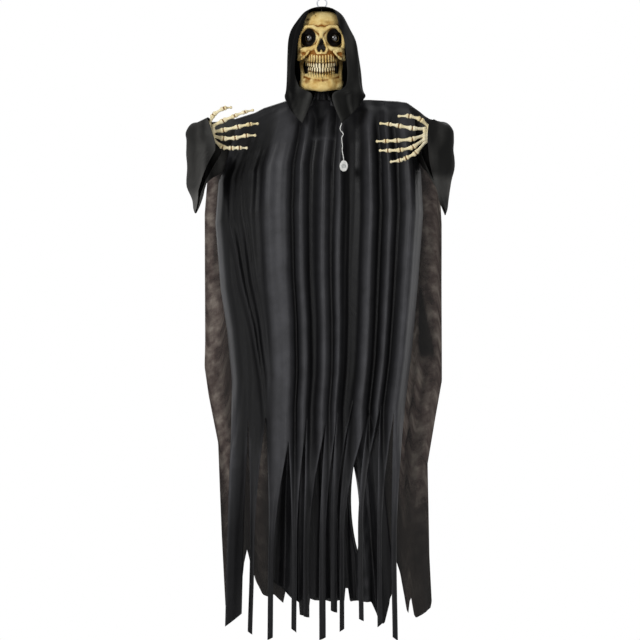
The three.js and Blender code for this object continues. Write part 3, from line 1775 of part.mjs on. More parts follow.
function makeButton() {
  const top = -lead_end_drop;
  const centre = top - button_height / 2;
  const outline = new THREE.Shape();
  outline.absellipse(0, 0, button_width / 2, button_height / 2, 0, 2 * Math.PI);
  const pressed = { depth: button_depth, bevelEnabled: false, curveSegments: 20 };
  const body = new THREE.ExtrudeGeometry(outline, pressed);
  body.rotateX(Math.PI / 2).translate(lead_end_side, -lead_forward + button_depth / 2, centre);
  const front = -lead_forward - button_depth / 2;
  const well = plunger(
    button_cap_diameter + 2 * running,
    front - overrun,
    front + button_depth - button_wall,
    lead_end_side,
    centre,
    16,
  );
  add("button_housing", without(body, well), white_plastic);
  const cap = plunger(
    button_cap_diameter,
    front - button_wall / 2,
    front + button_depth - button_wall - button_travel - gap,
    lead_end_side,
    centre,
    16,
  );
  add("button_cap", cap, grey_plastic);
}

makeHangingEye();
makeNeck();
makeCrossBar();
makeShoulder(-1, "left");
makeShoulder(1, "right");
makeYoke();
makeDeck();
makeCrank(-1, "left");
makeCrank(1, "right");
makePushRod(-1, "left");
makePushRod(1, "right");
makeArmDrive();
makeCase();
makeCaseContents();
makeCaseControls();
makeArm(-1, "left", elbow_left, wrist_left, wrist_drop_left);
makeArm(1, "right", elbow_right, wrist_right, wrist_drop_right);
makeHand(-1, "left", wrist_left, wrist_drop_left, hand_length_left, left_finger_shares);
makeHand(1, "right", wrist_right, wrist_drop_right, hand_length_right, right_finger_shares);
makeSkull();
makeUpperTeeth();
makeJaw();
makeJawDrive();
makeEye(-1, "left");
makeEye(1, "right");
makeHood();
makeBackAndCape();
makeSleeve(-1, "left", elbow_left, wrist_drop_left);
makeSleeve(1, "right", elbow_right, wrist_drop_right);
makeRobeFront();
makeLead();
makeButton();

export default figure;
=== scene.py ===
"""Hanging reaper: cloth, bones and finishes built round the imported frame."""

import math

import bpy
import numpy as np
from bpy.props import FloatProperty, FloatVectorProperty, PointerProperty
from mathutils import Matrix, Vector


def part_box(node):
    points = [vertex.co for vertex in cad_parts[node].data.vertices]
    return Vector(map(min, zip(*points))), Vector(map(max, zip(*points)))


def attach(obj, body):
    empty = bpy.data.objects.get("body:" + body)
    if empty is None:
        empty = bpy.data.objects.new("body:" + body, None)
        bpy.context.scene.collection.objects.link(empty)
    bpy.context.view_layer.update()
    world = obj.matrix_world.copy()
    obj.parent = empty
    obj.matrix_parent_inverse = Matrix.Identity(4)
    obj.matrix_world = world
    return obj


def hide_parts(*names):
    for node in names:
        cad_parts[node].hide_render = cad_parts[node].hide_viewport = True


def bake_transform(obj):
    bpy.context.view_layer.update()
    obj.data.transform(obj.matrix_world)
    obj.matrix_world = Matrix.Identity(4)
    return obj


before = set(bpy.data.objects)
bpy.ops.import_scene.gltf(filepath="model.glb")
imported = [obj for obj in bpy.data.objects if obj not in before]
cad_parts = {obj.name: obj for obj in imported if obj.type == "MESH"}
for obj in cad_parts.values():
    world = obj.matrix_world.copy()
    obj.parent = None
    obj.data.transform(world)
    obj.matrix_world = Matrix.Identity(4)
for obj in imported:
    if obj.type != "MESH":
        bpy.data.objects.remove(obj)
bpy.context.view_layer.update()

bl_info = {
    "name": "Hanging Reaper",
    "version": (1, 0, 0),
    "blender": (4, 5, 0),
    "location": "3D View > Sidebar > Reaper",
    "description": "Builds the cloth, bones and finishes of a hanging reaper round its frame",
    "category": "Object",
}

MM = 0.001

# ---------------------------------------------------------------------------
# Numbers that repeat the frame's own, in millimetres
# ---------------------------------------------------------------------------

FIGURE_DROP = 1857
ROBE_HALF = 315
NECK_DROP = 300
ROBE_FORWARD = 84
FOLD_DEPTH = 25
NECK_SCOOP = 42
SCOOP_HALF = 84
CAPE_HALF = 345
LOW_CREST = 302
SHOULDER_SPAN = 262
ARM_DROP = 372
ARM_TUBE = 18
WRIST_FORWARD = 150
# Middle of the skull, beside the ring's own.
SKULL_MIDDLE = -2.0
# Each arm: its word and side, elbow and wrist from the middle, the wrist's drop, the hand's length.
ARMS = (("left", -1, 366, 338, 400, 157), ("right", 1, 354, 322, 405, 168))
# Crest of the shoulders: share of the robe's half width, and drop as a share of the neck's.
SHOULDER_LINE = [
    (-1, 1.38), (-0.86, 1.34), (-0.82, 1.19), (-0.62, 1.124), (-0.54, 1.08), (-0.33, 1.008), (0, 1),
    (0.45, 1), (0.7, 1.013), (0.79, 1.027), (0.85, 1.07), (0.87, 1.34), (1, 1.38),
]
# Sides of the robe's front: how far down, and where, as a share of its half width.
ROBE_LEFT = [
    (0, -0.8), (0.03, -0.8), (0.07, -0.86), (0.12, -0.96), (0.2, -0.99), (0.33, -0.94), (0.41, -0.88),
    (0.51, -0.835), (0.6, -0.835), (1, -0.88),
]
ROBE_RIGHT = [
    (0, 0.85), (0.05, 0.86), (0.12, 0.92), (0.2, 0.94), (0.34, 0.89), (0.48, 0.825), (0.57, 0.762),
    (0.6, 0.76), (1, 0.79),
]
# The eleven strips, as shares of the robe's width: their edges above the slits, the middles of their
# feet and the widths of their feet.
STRIP_EDGES = [0, 0.1, 0.2, 0.335, 0.436, 0.547, 0.613, 0.698, 0.795, 0.859, 0.934, 1]
STRIP_FEET = [0.045, 0.132, 0.243, 0.368, 0.441, 0.529, 0.59, 0.636, 0.738, 0.847, 0.928]
STRIP_WIDTHS = [0.088, 0.026, 0.03, 0.027, 0.032, 0.036, 0.036, 0.026, 0.027, 0.026, 0.03]
# How much longer each strip's right edge is than its left, in mm.
STRIP_SLANTS = [-30, 9, -7, 10, 6, -9, 8, -10, 7, -12, 12]
# Slanting folds by the left side: share of the width half-way down, its drift and their height.
SLANT_FOLDS = [(0.165, 0.3, 0.55), (0.205, 0.22, 0.4)]
# Each strip's length as a share of the longest, where each slit starts, and how many degrees each
# strip turns below its slit.
STRIP_LENGTHS = [0.965, 0.99, 1, 0.985, 0.96, 1, 0.95, 0.985, 0.965, 0.975, 1]
SLIT_STARTS = [0.585, 0.588, 0.632, 0.592, 0.6, 0.58, 0.563, 0.58, 0.565, 0.58]
STRIP_TURNS = [-34, 22, -16, 30, -26, 18, -32, 28, -14, 24, -30]
# Share of a slit's length in which a strip narrows from its petal to its ribbon.
SLIT_TAPER = 0.56
# Ridges (above 0) and valleys (below) of the robe's folds across its width.
FOLDS = [
    (0, 0.8), (0.045, -0.2), (0.085, -0.8), (0.155, -0.95), (0.205, -0.5), (0.24, 0.5), (0.275, 0.8),
    (0.325, 1), (0.35, 0.7), (0.37, -0.85), (0.39, 0.2), (0.41, 0.85), (0.43, 0.3), (0.455, -0.75),
    (0.485, -0.1), (0.52, 0.95), (0.545, 0.2), (0.565, -0.65), (0.585, 0.3), (0.6, 0.75),
    (0.62, -0.3), (0.655, -0.95), (0.695, -0.6), (0.725, 0.3), (0.75, 0.85), (0.77, 0.1),
    (0.795, -0.85), (0.82, 0.1), (0.84, 0.75), (0.86, -0.1), (0.875, -0.75), (0.905, 0.1),
    (0.94, 0.85), (0.975, 0.5), (1, 0.2),
]
# From the shoulder down: how deep the folds are, and how far forward and back the cloth hangs.
FOLD_GROWTH = [
    (0, 0.2), (0.02, 0.45), (0.05, 0.7), (0.12, 0.9), (0.3, 1), (0.55, 1), (0.7, 0.5), (1, 0.25),
]
ROBE_DEPTH = [(0, 0), (0.02, 0.46), (0.045, 0.7), (0.08, 0.9), (0.13, 1), (0.6, 1), (1, 0.86)]
BACK_DEPTH = [(0, 0), (0.02, 0.5), (0.05, 0.78), (0.085, 0.97), (0.12, 1), (1, 0.9)]
# Both edges curl in towards the back, and how much of that shows on the way down.
EDGE_CURL = [
    (0, -0.03), (0.034, 0.56), (0.067, 0.86), (0.1, 1), (0.93, 1), (0.956, 0.86), (0.978, 0.56), (1, -0.03),
]
CURL_REACH = [(0.06, 0), (0.1, 1), (0.5, 1), (0.68, 0)]

# Sides and hem of the robe's back: place and half width, or place and drop under the ring.
BACK_LEFT = [
    (0, -0.8), (0.05, -0.84), (0.12, -0.93), (0.2, -0.96), (0.33, -0.91), (0.5, -0.81), (0.58, -0.62),
    (0.68, -0.42), (1, -0.5),
]
BACK_RIGHT = [
    (0, 0.85), (0.05, 0.86), (0.12, 0.9), (0.2, 0.91), (0.34, 0.86), (0.5, 0.79), (0.58, 0.66),
    (0.68, 0.52), (1, 0.67),
]
BACK_HEM = [
    (0, 1700), (0.128, 1743), (0.242, 1778), (0.25, 1814), (0.32, 1816), (0.33, 1762), (0.418, 1771),
    (0.608, 1771), (0.624, 1701), (0.652, 1772), (0.822, 1772), (0.9, 1838), (0.93, 1836),
    (0.97, 1775), (1, 1672),
]
# The same for the cape, and its own width over the frame's stand-in for it.
CAPE_LEFT = [
    (0, -0.73), (0.03, -0.8), (0.06, -0.92), (0.1, -0.96), (0.18, -0.985), (0.45, -0.98), (0.5, -0.985),
    (0.56, -0.95), (0.66, -0.87), (0.85, -0.84), (1, -0.81),
]
CAPE_RIGHT = [
    (0, 0.776), (0.03, 0.82), (0.06, 0.95), (0.1, 0.99), (0.18, 1.005), (0.52, 1.005), (0.6, 0.95),
    (0.7, 0.885), (0.9, 0.9), (1, 0.92),
]
CAPE_HEM = [
    (0, 1790), (0.012, 1828), (0.066, 1799), (0.078, 1755), (0.092, 1665), (0.107, 1620), (0.125, 1670),
    (0.15, 1722), (0.183, 1759), (0.225, 1764), (0.235, 1752), (0.28, 1782), (0.3, 1724), (0.36, 1735),
    (0.5, 1742), (0.74, 1735), (0.745, 1685), (0.755, 1752), (0.775, 1800), (0.79, 1775), (0.81, 1745),
    (0.826, 1655), (0.845, 1690), (0.86, 1740), (0.885, 1822), (0.897, 1756), (0.915, 1822),
    (0.925, 1824), (0.997, 1797), (1, 1780),
]
CAPE_SPREAD = 1.034
# The slit that robe back and cape share: drops of its two ends under the ring.
SLIT_TOP, SLIT_END = 1345, 1630

# The lead's two strands: radius, distance of each from the lead's middle and length of one twist.
STRAND_RADIUS = 0.7
STRAND_OFFSET = 0.62
TWIST_LENGTH = 9
# The lead's way from its eyelet to the button: across, forward (below 0) and up from the ring.
LEAD_ROUTE = [
    (54.6, -56.4, -346), (54.8, -61, -347), (55.4, -72, -351), (56, -86, -359), (56.6, -98, -368),
    (55.4, -105, -378), (52, -107, -388), (53.5, -108, -396), (59, -109, -402), (60.5, -108, -408),
    (57, -110, -414), (56.4, -111, -424), (58.4, -110, -438), (57.6, -112, -452), (60.2, -111, -468),
    (62, -112, -481.7),
]

# ---------------------------------------------------------------------------
# Curves, noise and meshes
# ---------------------------------------------------------------------------


def along(table, at):
    """Value on a table of (place, value) rows, straight between them."""
    return np.interp(at, [row[0] for row in table], [row[1] for row in table])


def smooth(values, place):
    """Smooth curve through evenly spaced values, numbers or rows of them; place runs from 0 to 1."""
    values = np.asarray(values, float)
    last = len(values) - 1
    at = np.clip(place, 0, 1) * last
    i = np.minimum(np.floor(at).astype(int), last - 1)
    f = at - i
    a, b, c, d = (values[np.clip(i + step, 0, last)] for step in (-1, 0, 1, 2))
    f = f.reshape(f.shape + (1,) * (values.ndim - 1))
    return b + f * (c - a + f * (2 * a - 5 * b + 4 * c - d + f * (3 * (b - c) + d - a))) / 2


def softened(table, spread):
    """The table read at 401 places and blurred, so that its corners are round; spread is in shares."""
    at = np.linspace(0, 1, 401)
    values = along(table, at)
    reach = np.arange(-40, 41)
    weights = np.exp(-((reach / 400) / spread) ** 2)
    padded = np.pad(values, 40, mode="edge")
    return np.convolve(padded, weights / weights.sum(), mode="valid")


def ease(value, low, high):
    """0 below low, 1 above high, and a soft step between."""
    t = np.clip((value - low) / (high - low), 0, 1)
    return t * t * (3 - 2 * t)


def ripple(seed, u, v):
    """Soft noise from -1 to 1; u and v count its lumps across and down."""
    grid = np.random.default_rng(seed).uniform(-1, 1, (64, 64))
    iu, iv = np.floor(u).astype(int), np.floor(v).astype(int)
    fu, fv = u - iu, v - iv
    fu, fv = fu * fu * (3 - 2 * fu), fv * fv * (3 - 2 * fv)
    here, across = grid[iu % 64, iv % 64], grid[(iu + 1) % 64, iv % 64]
    down, both = grid[iu % 64, (iv + 1) % 64], grid[(iu + 1) % 64, (iv + 1) % 64]
    return (here * (1 - fu) + across * fu) * (1 - fv) + (down * (1 - fu) + both * fu) * fv


def link_mesh(name, points, faces, uvs=None, materials=(), marks=None):
    """A smooth-shaded mesh object from points in metres; marks are named numbers per point."""
    mesh = bpy.data.meshes.new(name)
    mesh.from_pydata([tuple(p) for p in points], [], [tuple(int(i) for i in f) for f in faces])
    if uvs is not None:
        layer = mesh.uv_layers.new(name="cloth")
        corners = np.empty(len(mesh.loops), np.int32)
        mesh.loops.foreach_get("vertex_index", corners)
        layer.data.foreach_set("uv", np.asarray(uvs, np.float32)[corners].ravel())
    for mark, values in (marks or {}).items():
        attribute = mesh.attributes.new(mark, "FLOAT", "POINT")
        attribute.data.foreach_set("value", np.asarray(values, np.float32))
    mesh.polygons.foreach_set("use_smooth", [True] * len(mesh.polygons))
    mesh.update()
    made = bpy.data.objects.new(name, mesh)
    bpy.context.scene.collection.objects.link(made)
    for material in materials:
        mesh.materials.append(material)
    return made


def lay_cloth(name, points, other=None, size=(1, 1), flip=False, closed=False, materials=(), marks=None):
    """A sheet from points[column, row] in mm. Where other differs, the cloth is slit: the cells to a
    column's left use other. size is the cloth's width and length in metres, for the weave."""
    other = points if other is None else other
    columns, rows = points.shape[:2]
    own = np.arange(columns * rows).reshape(columns, rows)
    parted = np.linalg.norm(points - other, axis=2) > 0.01
    left = own.copy()
    left[parted] = columns * rows + np.arange(parted.sum())
    everything = np.concatenate([points.reshape(-1, 3), other[parted]]) * MM
    share = np.linspace(0, 1, columns)[:, None] * np.ones(rows)
    hung = np.ones(columns)[:, None] * np.linspace(0, 1, rows)
    flat = np.stack([share * size[0], hung * size[1]], axis=2)
    uvs = np.concatenate([flat.reshape(-1, 2), flat[parted]])
    if marks:
        marks = {k: np.concatenate([v.reshape(-1), v[parted]]) for k, v in marks.items()}
    if closed:
        left[-1] = own[0]
    quads = np.stack([own[:-1, :-1], own[:-1, 1:], left[1:, 1:], left[1:, :-1]], axis=2).reshape(-1, 4)
    if flip:
        quads = quads[:, ::-1]
    return link_mesh(name, everything, quads, uvs, materials, marks)


def thicken(cloth, thickness):
    """Gives a sheet its thickness behind the face that shows."""
    solid = cloth.modifiers.new("cloth thickness", "SOLIDIFY")
    solid.thickness = thickness
    solid.offset = -1


def surface_of(field, origin, step):
    """Points and quads of the surface where the field passes zero; it is negative inside."""
    inside = field < 0
    corner = [(i, j, k) for i in (0, 1) for j in (0, 1) for k in (0, 1)]
    count = sum(inside[i:i + inside.shape[0] - 1, j:j + inside.shape[1] - 1, k:k + inside.shape[2] - 1]
                .astype(np.int8) for i, j, k in corner)
    cells = np.argwhere((count > 0) & (count < 8))
    number = -np.ones(count.shape, np.int64)
    number[tuple(cells.T)] = np.arange(len(cells))
    total, crossings = np.zeros((len(cells), 3)), np.zeros(len(cells))
    for a in corner:
        for axis in range(3):
            if a[axis]:
                continue
            b = tuple(v + (n == axis) for n, v in enumerate(a))
            fa = field[tuple((cells + a).T)]
            fb = field[tuple((cells + b).T)]
            crosses = (fa < 0) != (fb < 0)
            t = np.where(crosses, fa / np.where(crosses, fa - fb, 1), 0)
            spot = np.array(a) + t[:, None] * (np.array(b) - np.array(a))
            total += spot * crosses[:, None]
            crossings += crosses
    points = origin + (cells + total / crossings[:, None]) * step
    quads = []
    for axis in range(3):
        u, v = (axis + 1) % 3, (axis + 2) % 3
        low = np.take(inside, range(inside.shape[axis] - 1), axis)
        high = np.take(inside, range(1, inside.shape[axis]), axis)
        edges = np.argwhere(low != high)
        edges = edges[(edges[:, u] > 0) & (edges[:, v] > 0)
                      & (edges[:, u] < inside.shape[u] - 1) & (edges[:, v] < inside.shape[v] - 1)]
        ring = []
        for du, dv in ((0, 0), (1, 0), (1, 1), (0, 1)):
            cell = edges.copy()
            cell[:, u] -= du
            cell[:, v] -= dv
            ring.append(number[tuple(cell.T)])
        quad = np.stack(ring, axis=1)
        outward = low[tuple(edges.T)]
        quad[~outward] = quad[~outward][:, ::-1]
        quads.append(quad)
    return points, np.concatenate(quads)


def sample(volume, points, origin, step):
    """A volume's value at points, blended from the eight cells round each."""
    at = np.clip((points - origin) / step, 0, np.array(volume.shape) - 1.001)
    i = at.astype(int)
    f = at - i
    value = np.zeros(len(points))
    for a in ((x, y, z) for x in (0, 1) for y in (0, 1) for z in (0, 1)):
        weight = np.prod([f[:, n] if a[n] else 1 - f[:, n] for n in range(3)], axis=0)
        value += weight * volume[tuple((i + a).T)]
    return value


def blurred(volume, reach):
    """Box blur, twice along each axis; reach is in cells."""
    out = volume.astype(np.float32)
    for axis in (0, 1, 2, 0, 1, 2):
        pad = [(0, 0)] * 3
        pad[axis] = (reach + 1, reach)
        total = np.cumsum(np.pad(out, pad, mode="edge"), axis=axis, dtype=np.float64)
        n = total.shape[axis]
        out = (np.take(total, range(2 * reach + 1, n), axis)
               - np.take(total, range(0, n - 2 * reach - 1), axis)) / (2 * reach + 1)
    return out


class Clay:
    """A volume that shapes are added to and cut from, all in mm, with soft joints between them."""

    def __init__(self, low, high, step):
        self.origin, self.step = np.array(low, float), step
        counts = np.ceil((np.array(high) - low) / step).astype(int) + 1
        axes = [low[n] + step * np.arange(counts[n], dtype=np.float32) for n in range(3)]
        self.x, self.y, self.z = np.meshgrid(*axes, indexing="ij", sparse=True)
        self.shape = tuple(counts)
        self.field = np.full(self.shape, 50, np.float32)

    def ball(self, centre, radii, side=None):
        """Signed distance to an ellipsoid; with side it stands on both sides of the middle."""
        x = np.abs(self.x - side) if side is not None else self.x
        parts = [(x - centre[0]), (self.y - centre[1]), (self.z - centre[2])]
        k = np.sqrt(sum((p / r) ** 2 for p, r in zip(parts, radii)))
        slope = np.sqrt(sum((p / r ** 2) ** 2 for p, r in zip(parts, radii)))
        return k * (k - 1) / np.maximum(slope, 1e-4)

    def rod(self, a, b, ra, rb=None, side=None, waist=0):
        """Signed distance to a rod from a to b; waist is how much thinner its middle is."""
        rb = ra if rb is None else rb
        x = np.abs(self.x - side) if side is not None else self.x
        run = np.array(b, float) - a
        t = ((x - a[0]) * run[0] + (self.y - a[1]) * run[1] + (self.z - a[2]) * run[2]) / (run @ run)
        t = np.clip(t, 0, 1)
        away = np.sqrt((x - a[0] - t * run[0]) ** 2 + (self.y - a[1] - t * run[1]) ** 2
                       + (self.z - a[2] - t * run[2]) ** 2)
        bulk = ra + (rb - ra) * t
        if waist:
            bulk = bulk - waist * np.clip(1 - np.abs(2 * t - 1) ** 2.6, 0, 1)
        return away - bulk

    def path(self, spots, radii, side=None):
        """Signed distance to a chain of rods through the spots."""
        out = self.rod(spots[0], spots[1], radii[0], radii[1], side)
        for n in range(1, len(spots) - 1):
            out = np.minimum(out, self.rod(spots[n], spots[n + 1], radii[n], radii[n + 1], side))
        return out

    def add(self, shape, soft=0.0):
        """Adds a shape; soft is how wide the joint's rounding is."""
        if soft:
            h = np.clip(0.5 + 0.5 * (self.field - shape) / soft, 0, 1)
            self.field = self.field * (1 - h) + shape * h - soft * h * (1 - h)
        else:
            self.field = np.minimum(self.field, shape)

    def cut(self, shape, soft=0.0):
        """Cuts a shape away; soft is how wide the edge's rounding is."""
        if soft:
            h = np.clip(0.5 - 0.5 * (self.field + shape) / soft, 0, 1)
            self.field = self.field * (1 - h) - shape * h + soft * h * (1 - h)
        else:
            self.field = np.maximum(self.field, -shape)

    def surface(self, reach):
        """Points, quads and how deep in a hollow each point lies, from -1 on a ridge to 1."""
        points, quads = surface_of(self.field, self.origin, self.step)
        fill = blurred(self.field < 0, reach)
        return points, quads, np.clip((sample(fill, points, self.origin, self.step) - 0.5) * 4, -1, 1)


# ---------------------------------------------------------------------------
# Materials
# ---------------------------------------------------------------------------


def linear(code):
    """Scene colour from an sRGB hex value."""
    parts = [int(code[n:n + 2], 16) / 255 for n in (1, 3, 5)]
    return tuple(p / 12.92 if p <= 0.04045 else ((p + 0.055) / 1.055) ** 2.4 for p in parts) + (1.0,)


class ReaperColours(bpy.types.PropertyGroup):
    """Colours of the cloth and the bones."""

    # Colour of the robe's painted highlight on its fold ridges.
    satin: FloatVectorProperty(
        name="Satin", description="Robe, where a ridge is rubbed", default=linear("#414144")[:3],
        subtype="COLOR")
    # Colour of the painted light on the hood's folds and lapels.
    crepe: FloatVectorProperty(
        name="Crepe", description="Hood, on its ridges", default=linear("#3b3b39")[:3], subtype="COLOR")
    # Colour of the painted light at the sleeves' thin tips.
    voile: FloatVectorProperty(
        name="Voile", description="Sleeves, at their tips", default=linear("#7a7976")[:3],
        subtype="COLOR")
    # Colour of the cape's pale patches, painted in where light comes through one layer.
    gauze: FloatVectorProperty(
        name="Gauze", description="Cape, in its pale patches", default=linear("#867d74")[:3],
        subtype="COLOR")
    bone: FloatVectorProperty(
        name="Bone", description="Skull and jaw, on their ridges", default=linear("#ead598")[:3],
        subtype="COLOR")
    wash: FloatVectorProperty(
        name="Wash", description="Skull and jaw, in their hollows", default=linear("#83531c")[:3],
        subtype="COLOR")
    hands: FloatVectorProperty(
        name="Hand bones", description="Hands, on their ridges", default=linear("#efe6c8")[:3],
        subtype="COLOR")


def scene_colour(colour):
    """Scene colour from an sRGB hex value, or from the name of a colour in the sidebar."""
    if colour.startswith("#"):
        return linear(colour)
    return tuple(getattr(bpy.context.scene.reaper_colours, colour)) + (1.0,)


def add_node(tree, kind, inputs=None, ramp=None, **settings):
    """Adds a node. An input given as (node, output) is linked, any other is set."""
    made = tree.nodes.new(kind)
    for field, value in settings.items():
        setattr(made, field, value)
    for socket, value in (inputs or {}).items():
        if isinstance(value, tuple) and isinstance(value[0], bpy.types.Node):
            tree.links.new(value[0].outputs[value[1]], made.inputs[socket])
        else:
            made.inputs[socket].default_value = value
    if ramp:
        elements = made.color_ramp.elements
        while len(elements) < len(ramp):
            elements.new(0.5)
        for element, (place, colour) in zip(elements, ramp):
            element.position = place
            element.color = scene_colour(colour)
    return made


def begin(name):
    """An empty material and its node tree."""
    material = bpy.data.materials.new(name)
    material.use_nodes = True
    material.node_tree.nodes.clear()
    return material, material.node_tree


def end(material, shader):
    """Joins the shader to the material's output."""
    add_node(material.node_tree, "ShaderNodeOutputMaterial", {"Surface": (shader, "BSDF")})
    return material


def woven(name, ramp, blotch_mm, thread_mm, crease_mm, crease=0.3, painted_shade=None, **surface):
    """A cloth: blotches of colour, threads along the length and soft creases, all in cloth space. The
    mark ridge paints light and shade: it takes the cloth from its painted shade colour at 0 to the ramp's
    at 1."""
    material, tree = begin(name)
    place = add_node(tree, "ShaderNodeUVMap", uv_map="cloth")
    blotch = add_node(tree, "ShaderNodeTexNoise", {
        "Vector": (place, "UV"), "Scale": 1 / (blotch_mm * MM), "Detail": 5.0, "Roughness": 0.6})
    colour = add_node(tree, "ShaderNodeValToRGB", {"Fac": (blotch, "Fac")}, ramp=ramp)
    shade = (colour, "Color")
    if painted_shade:
        ridge = add_node(tree, "ShaderNodeAttribute", attribute_name="ridge")
        shade = (add_node(tree, "ShaderNodeMix", {
            "Factor": (ridge, "Fac"), 6: scene_colour(painted_shade), 7: shade}, data_type="RGBA"), 2)
    drawn = add_node(tree, "ShaderNodeMapping", {"Vector": (place, "UV"), "Scale": (1.0, 0.12, 1.0)})
    thread = add_node(tree, "ShaderNodeTexNoise", {
        "Vector": (drawn, "Vector"), "Scale": 1 / (thread_mm * MM), "Detail": 2.0})
    creased = add_node(tree, "ShaderNodeTexNoise", {
        "Vector": (place, "UV"), "Scale": 1 / (crease_mm * MM), "Detail": 3.0, "Distortion": 0.8})
    fine = add_node(tree, "ShaderNodeBump", {
        "Height": (thread, "Fac"), "Strength": 0.25, "Distance": 0.0006})
    folded = add_node(tree, "ShaderNodeBump", {
        "Height": (creased, "Fac"), "Normal": (fine, "Normal"), "Strength": crease, "Distance": 0.004})
    return end(material, add_node(tree, "ShaderNodeBsdfPrincipled", {
        "Base Color": shade, "Normal": (folded, "Normal"), **surface}))


def satin_weave():
    # Black polyester satin, woven and heat-set: black in its valleys, which is painted shade, and grey on
    # its ridges, where the gleam is painted in as a highlight. Threads are 0.1 mm apart, drawn 3 mm apart
    # so that they show.
    return woven("black polyester satin, woven", [(0.3, "#313133"), (0.7, "satin")], 60, 3, 45,
                 crease=0.2, painted_shade="#060607", Roughness=0.42, **{"Specular IOR Level": 0.12})


def crepe_weave():
    # Black polyester crepe, woven with twisted thread: flat, charcoal and hardly shiny, near black where
    # shade is painted in.
    return woven("black polyester crepe, woven", [(0.3, "#2c2c2b"), (0.7, "crepe")], 50, 2.5, 30,
                 crease=0.35, painted_shade="#050505", Roughness=0.85, **{"Specular IOR Level": 0.07})


def voile_weave():
    # Black polyester voile, thin plain weave: charcoal in its painted shade, and paler at its torn tips,
    # where light through the thin cloth is painted in.
    return woven("black polyester voile, woven", [(0.3, "#5c5b59"), (0.7, "voile")], 40, 2.5, 26,
                 crease=0.35, painted_shade="#121211", Roughness=0.85, **{"Specular IOR Level": 0.1})


def gauze_weave():
    # Brown-black polyester gauze, open-woven and dip-dyed, thin enough to show light behind: mottled pale
    # and dark, painted in for light through one layer or two, and near black where shade in its folds is
    # painted.
    # Each skin of it, front and back of its thickness, lets a tenth of the light through.
    return woven("dyed polyester gauze, open weave",
                 [(0.32, "#2f2825"), (0.45, "#4b403c"), (0.55, "#635953"), (0.7, "gauze")], 44, 2.5, 18,
                 crease=0.8, painted_shade="#12100e", Roughness=0.85, Alpha=0.9,
                 **{"Specular IOR Level": 0.08})


def moulded(name, pale, deep, grain_mm, scuff_mm, bump=0.15, **surface):
    """A moulded, painted or plated solid: blotched colour, scuffed gloss and a fine grain."""
    material, tree = begin(name)
    place = add_node(tree, "ShaderNodeTexCoord")
    blotch = add_node(tree, "ShaderNodeTexNoise", {
        "Vector": (place, "Object"), "Scale": 1 / (scuff_mm * MM), "Detail": 4.0})
    colour = add_node(tree, "ShaderNodeValToRGB", {"Fac": (blotch, "Fac")},
                      ramp=[(0.35, deep), (0.65, pale)])
    grain = add_node(tree, "ShaderNodeTexNoise", {
        "Vector": (place, "Object"), "Scale": 1 / (grain_mm * MM), "Detail": 2.0})
    bumped = add_node(tree, "ShaderNodeBump", {
        "Height": (grain, "Fac"), "Strength": bump, "Distance": 0.0004})
    rough = surface.pop("Roughness", 0.5)
    gloss = add_node(tree, "ShaderNodeMapRange", {
        "Value": (blotch, "Fac"), "To Min": rough * 0.8, "To Max": min(rough * 1.25, 1.0)})
    return end(material, add_node(tree, "ShaderNodeBsdfPrincipled", {
        "Base Color": (colour, "Color"), "Normal": (bumped, "Normal"), "Roughness": (gloss, "Result"),
        **surface}))


def aged_bone(name, pale, middle, deep, hollows, black):
    """Painted bone: three blotched bone colours, the hollows' wash, and black where the mark dark is,
    which is black paint in places and painted shade in others.
    """
    material, tree = begin(name)
    place = add_node(tree, "ShaderNodeTexCoord")
    broad = add_node(tree, "ShaderNodeTexNoise", {
        "Vector": (place, "Object"), "Scale": 1 / (34 * MM), "Detail": 4.0, "Roughness": 0.65})
    base = add_node(tree, "ShaderNodeValToRGB", {"Fac": (broad, "Fac")}, ramp=[
        (0.3, deep), (0.5, middle), (0.68, pale)])
    hollow = add_node(tree, "ShaderNodeAttribute", attribute_name="wash")
    speckle = add_node(tree, "ShaderNodeTexNoise", {
        "Vector": (place, "Object"), "Scale": 1 / (7 * MM), "Detail": 5.0, "Roughness": 0.7})
    mottled = add_node(tree, "ShaderNodeMath", {0: (hollow, "Fac"), 1: (speckle, "Fac")}, operation="ADD")
    wash = add_node(tree, "ShaderNodeMapRange", {
        "Value": (mottled, "Value"), "From Min": 0.4, "From Max": 1.12})
    washed = add_node(tree, "ShaderNodeMix", {
        "Factor": (wash, "Result"), 6: (base, "Color"), 7: scene_colour(hollows)}, data_type="RGBA")
    dark = add_node(tree, "ShaderNodeAttribute", attribute_name="dark")
    painted = add_node(tree, "ShaderNodeMix", {
        "Factor": (dark, "Fac"), 6: (washed, 2), 7: scene_colour(black)}, data_type="RGBA")
    pores = add_node(tree, "ShaderNodeBump", {
        "Height": (speckle, "Fac"), "Strength": 0.35, "Distance": 0.0008})
    return end(material, add_node(tree, "ShaderNodeBsdfPrincipled", {
        "Base Color": (painted, 2), "Normal": (pores, "Normal"), "Roughness": 0.5,
        "Specular IOR Level": 0.12}))


MADE = {}


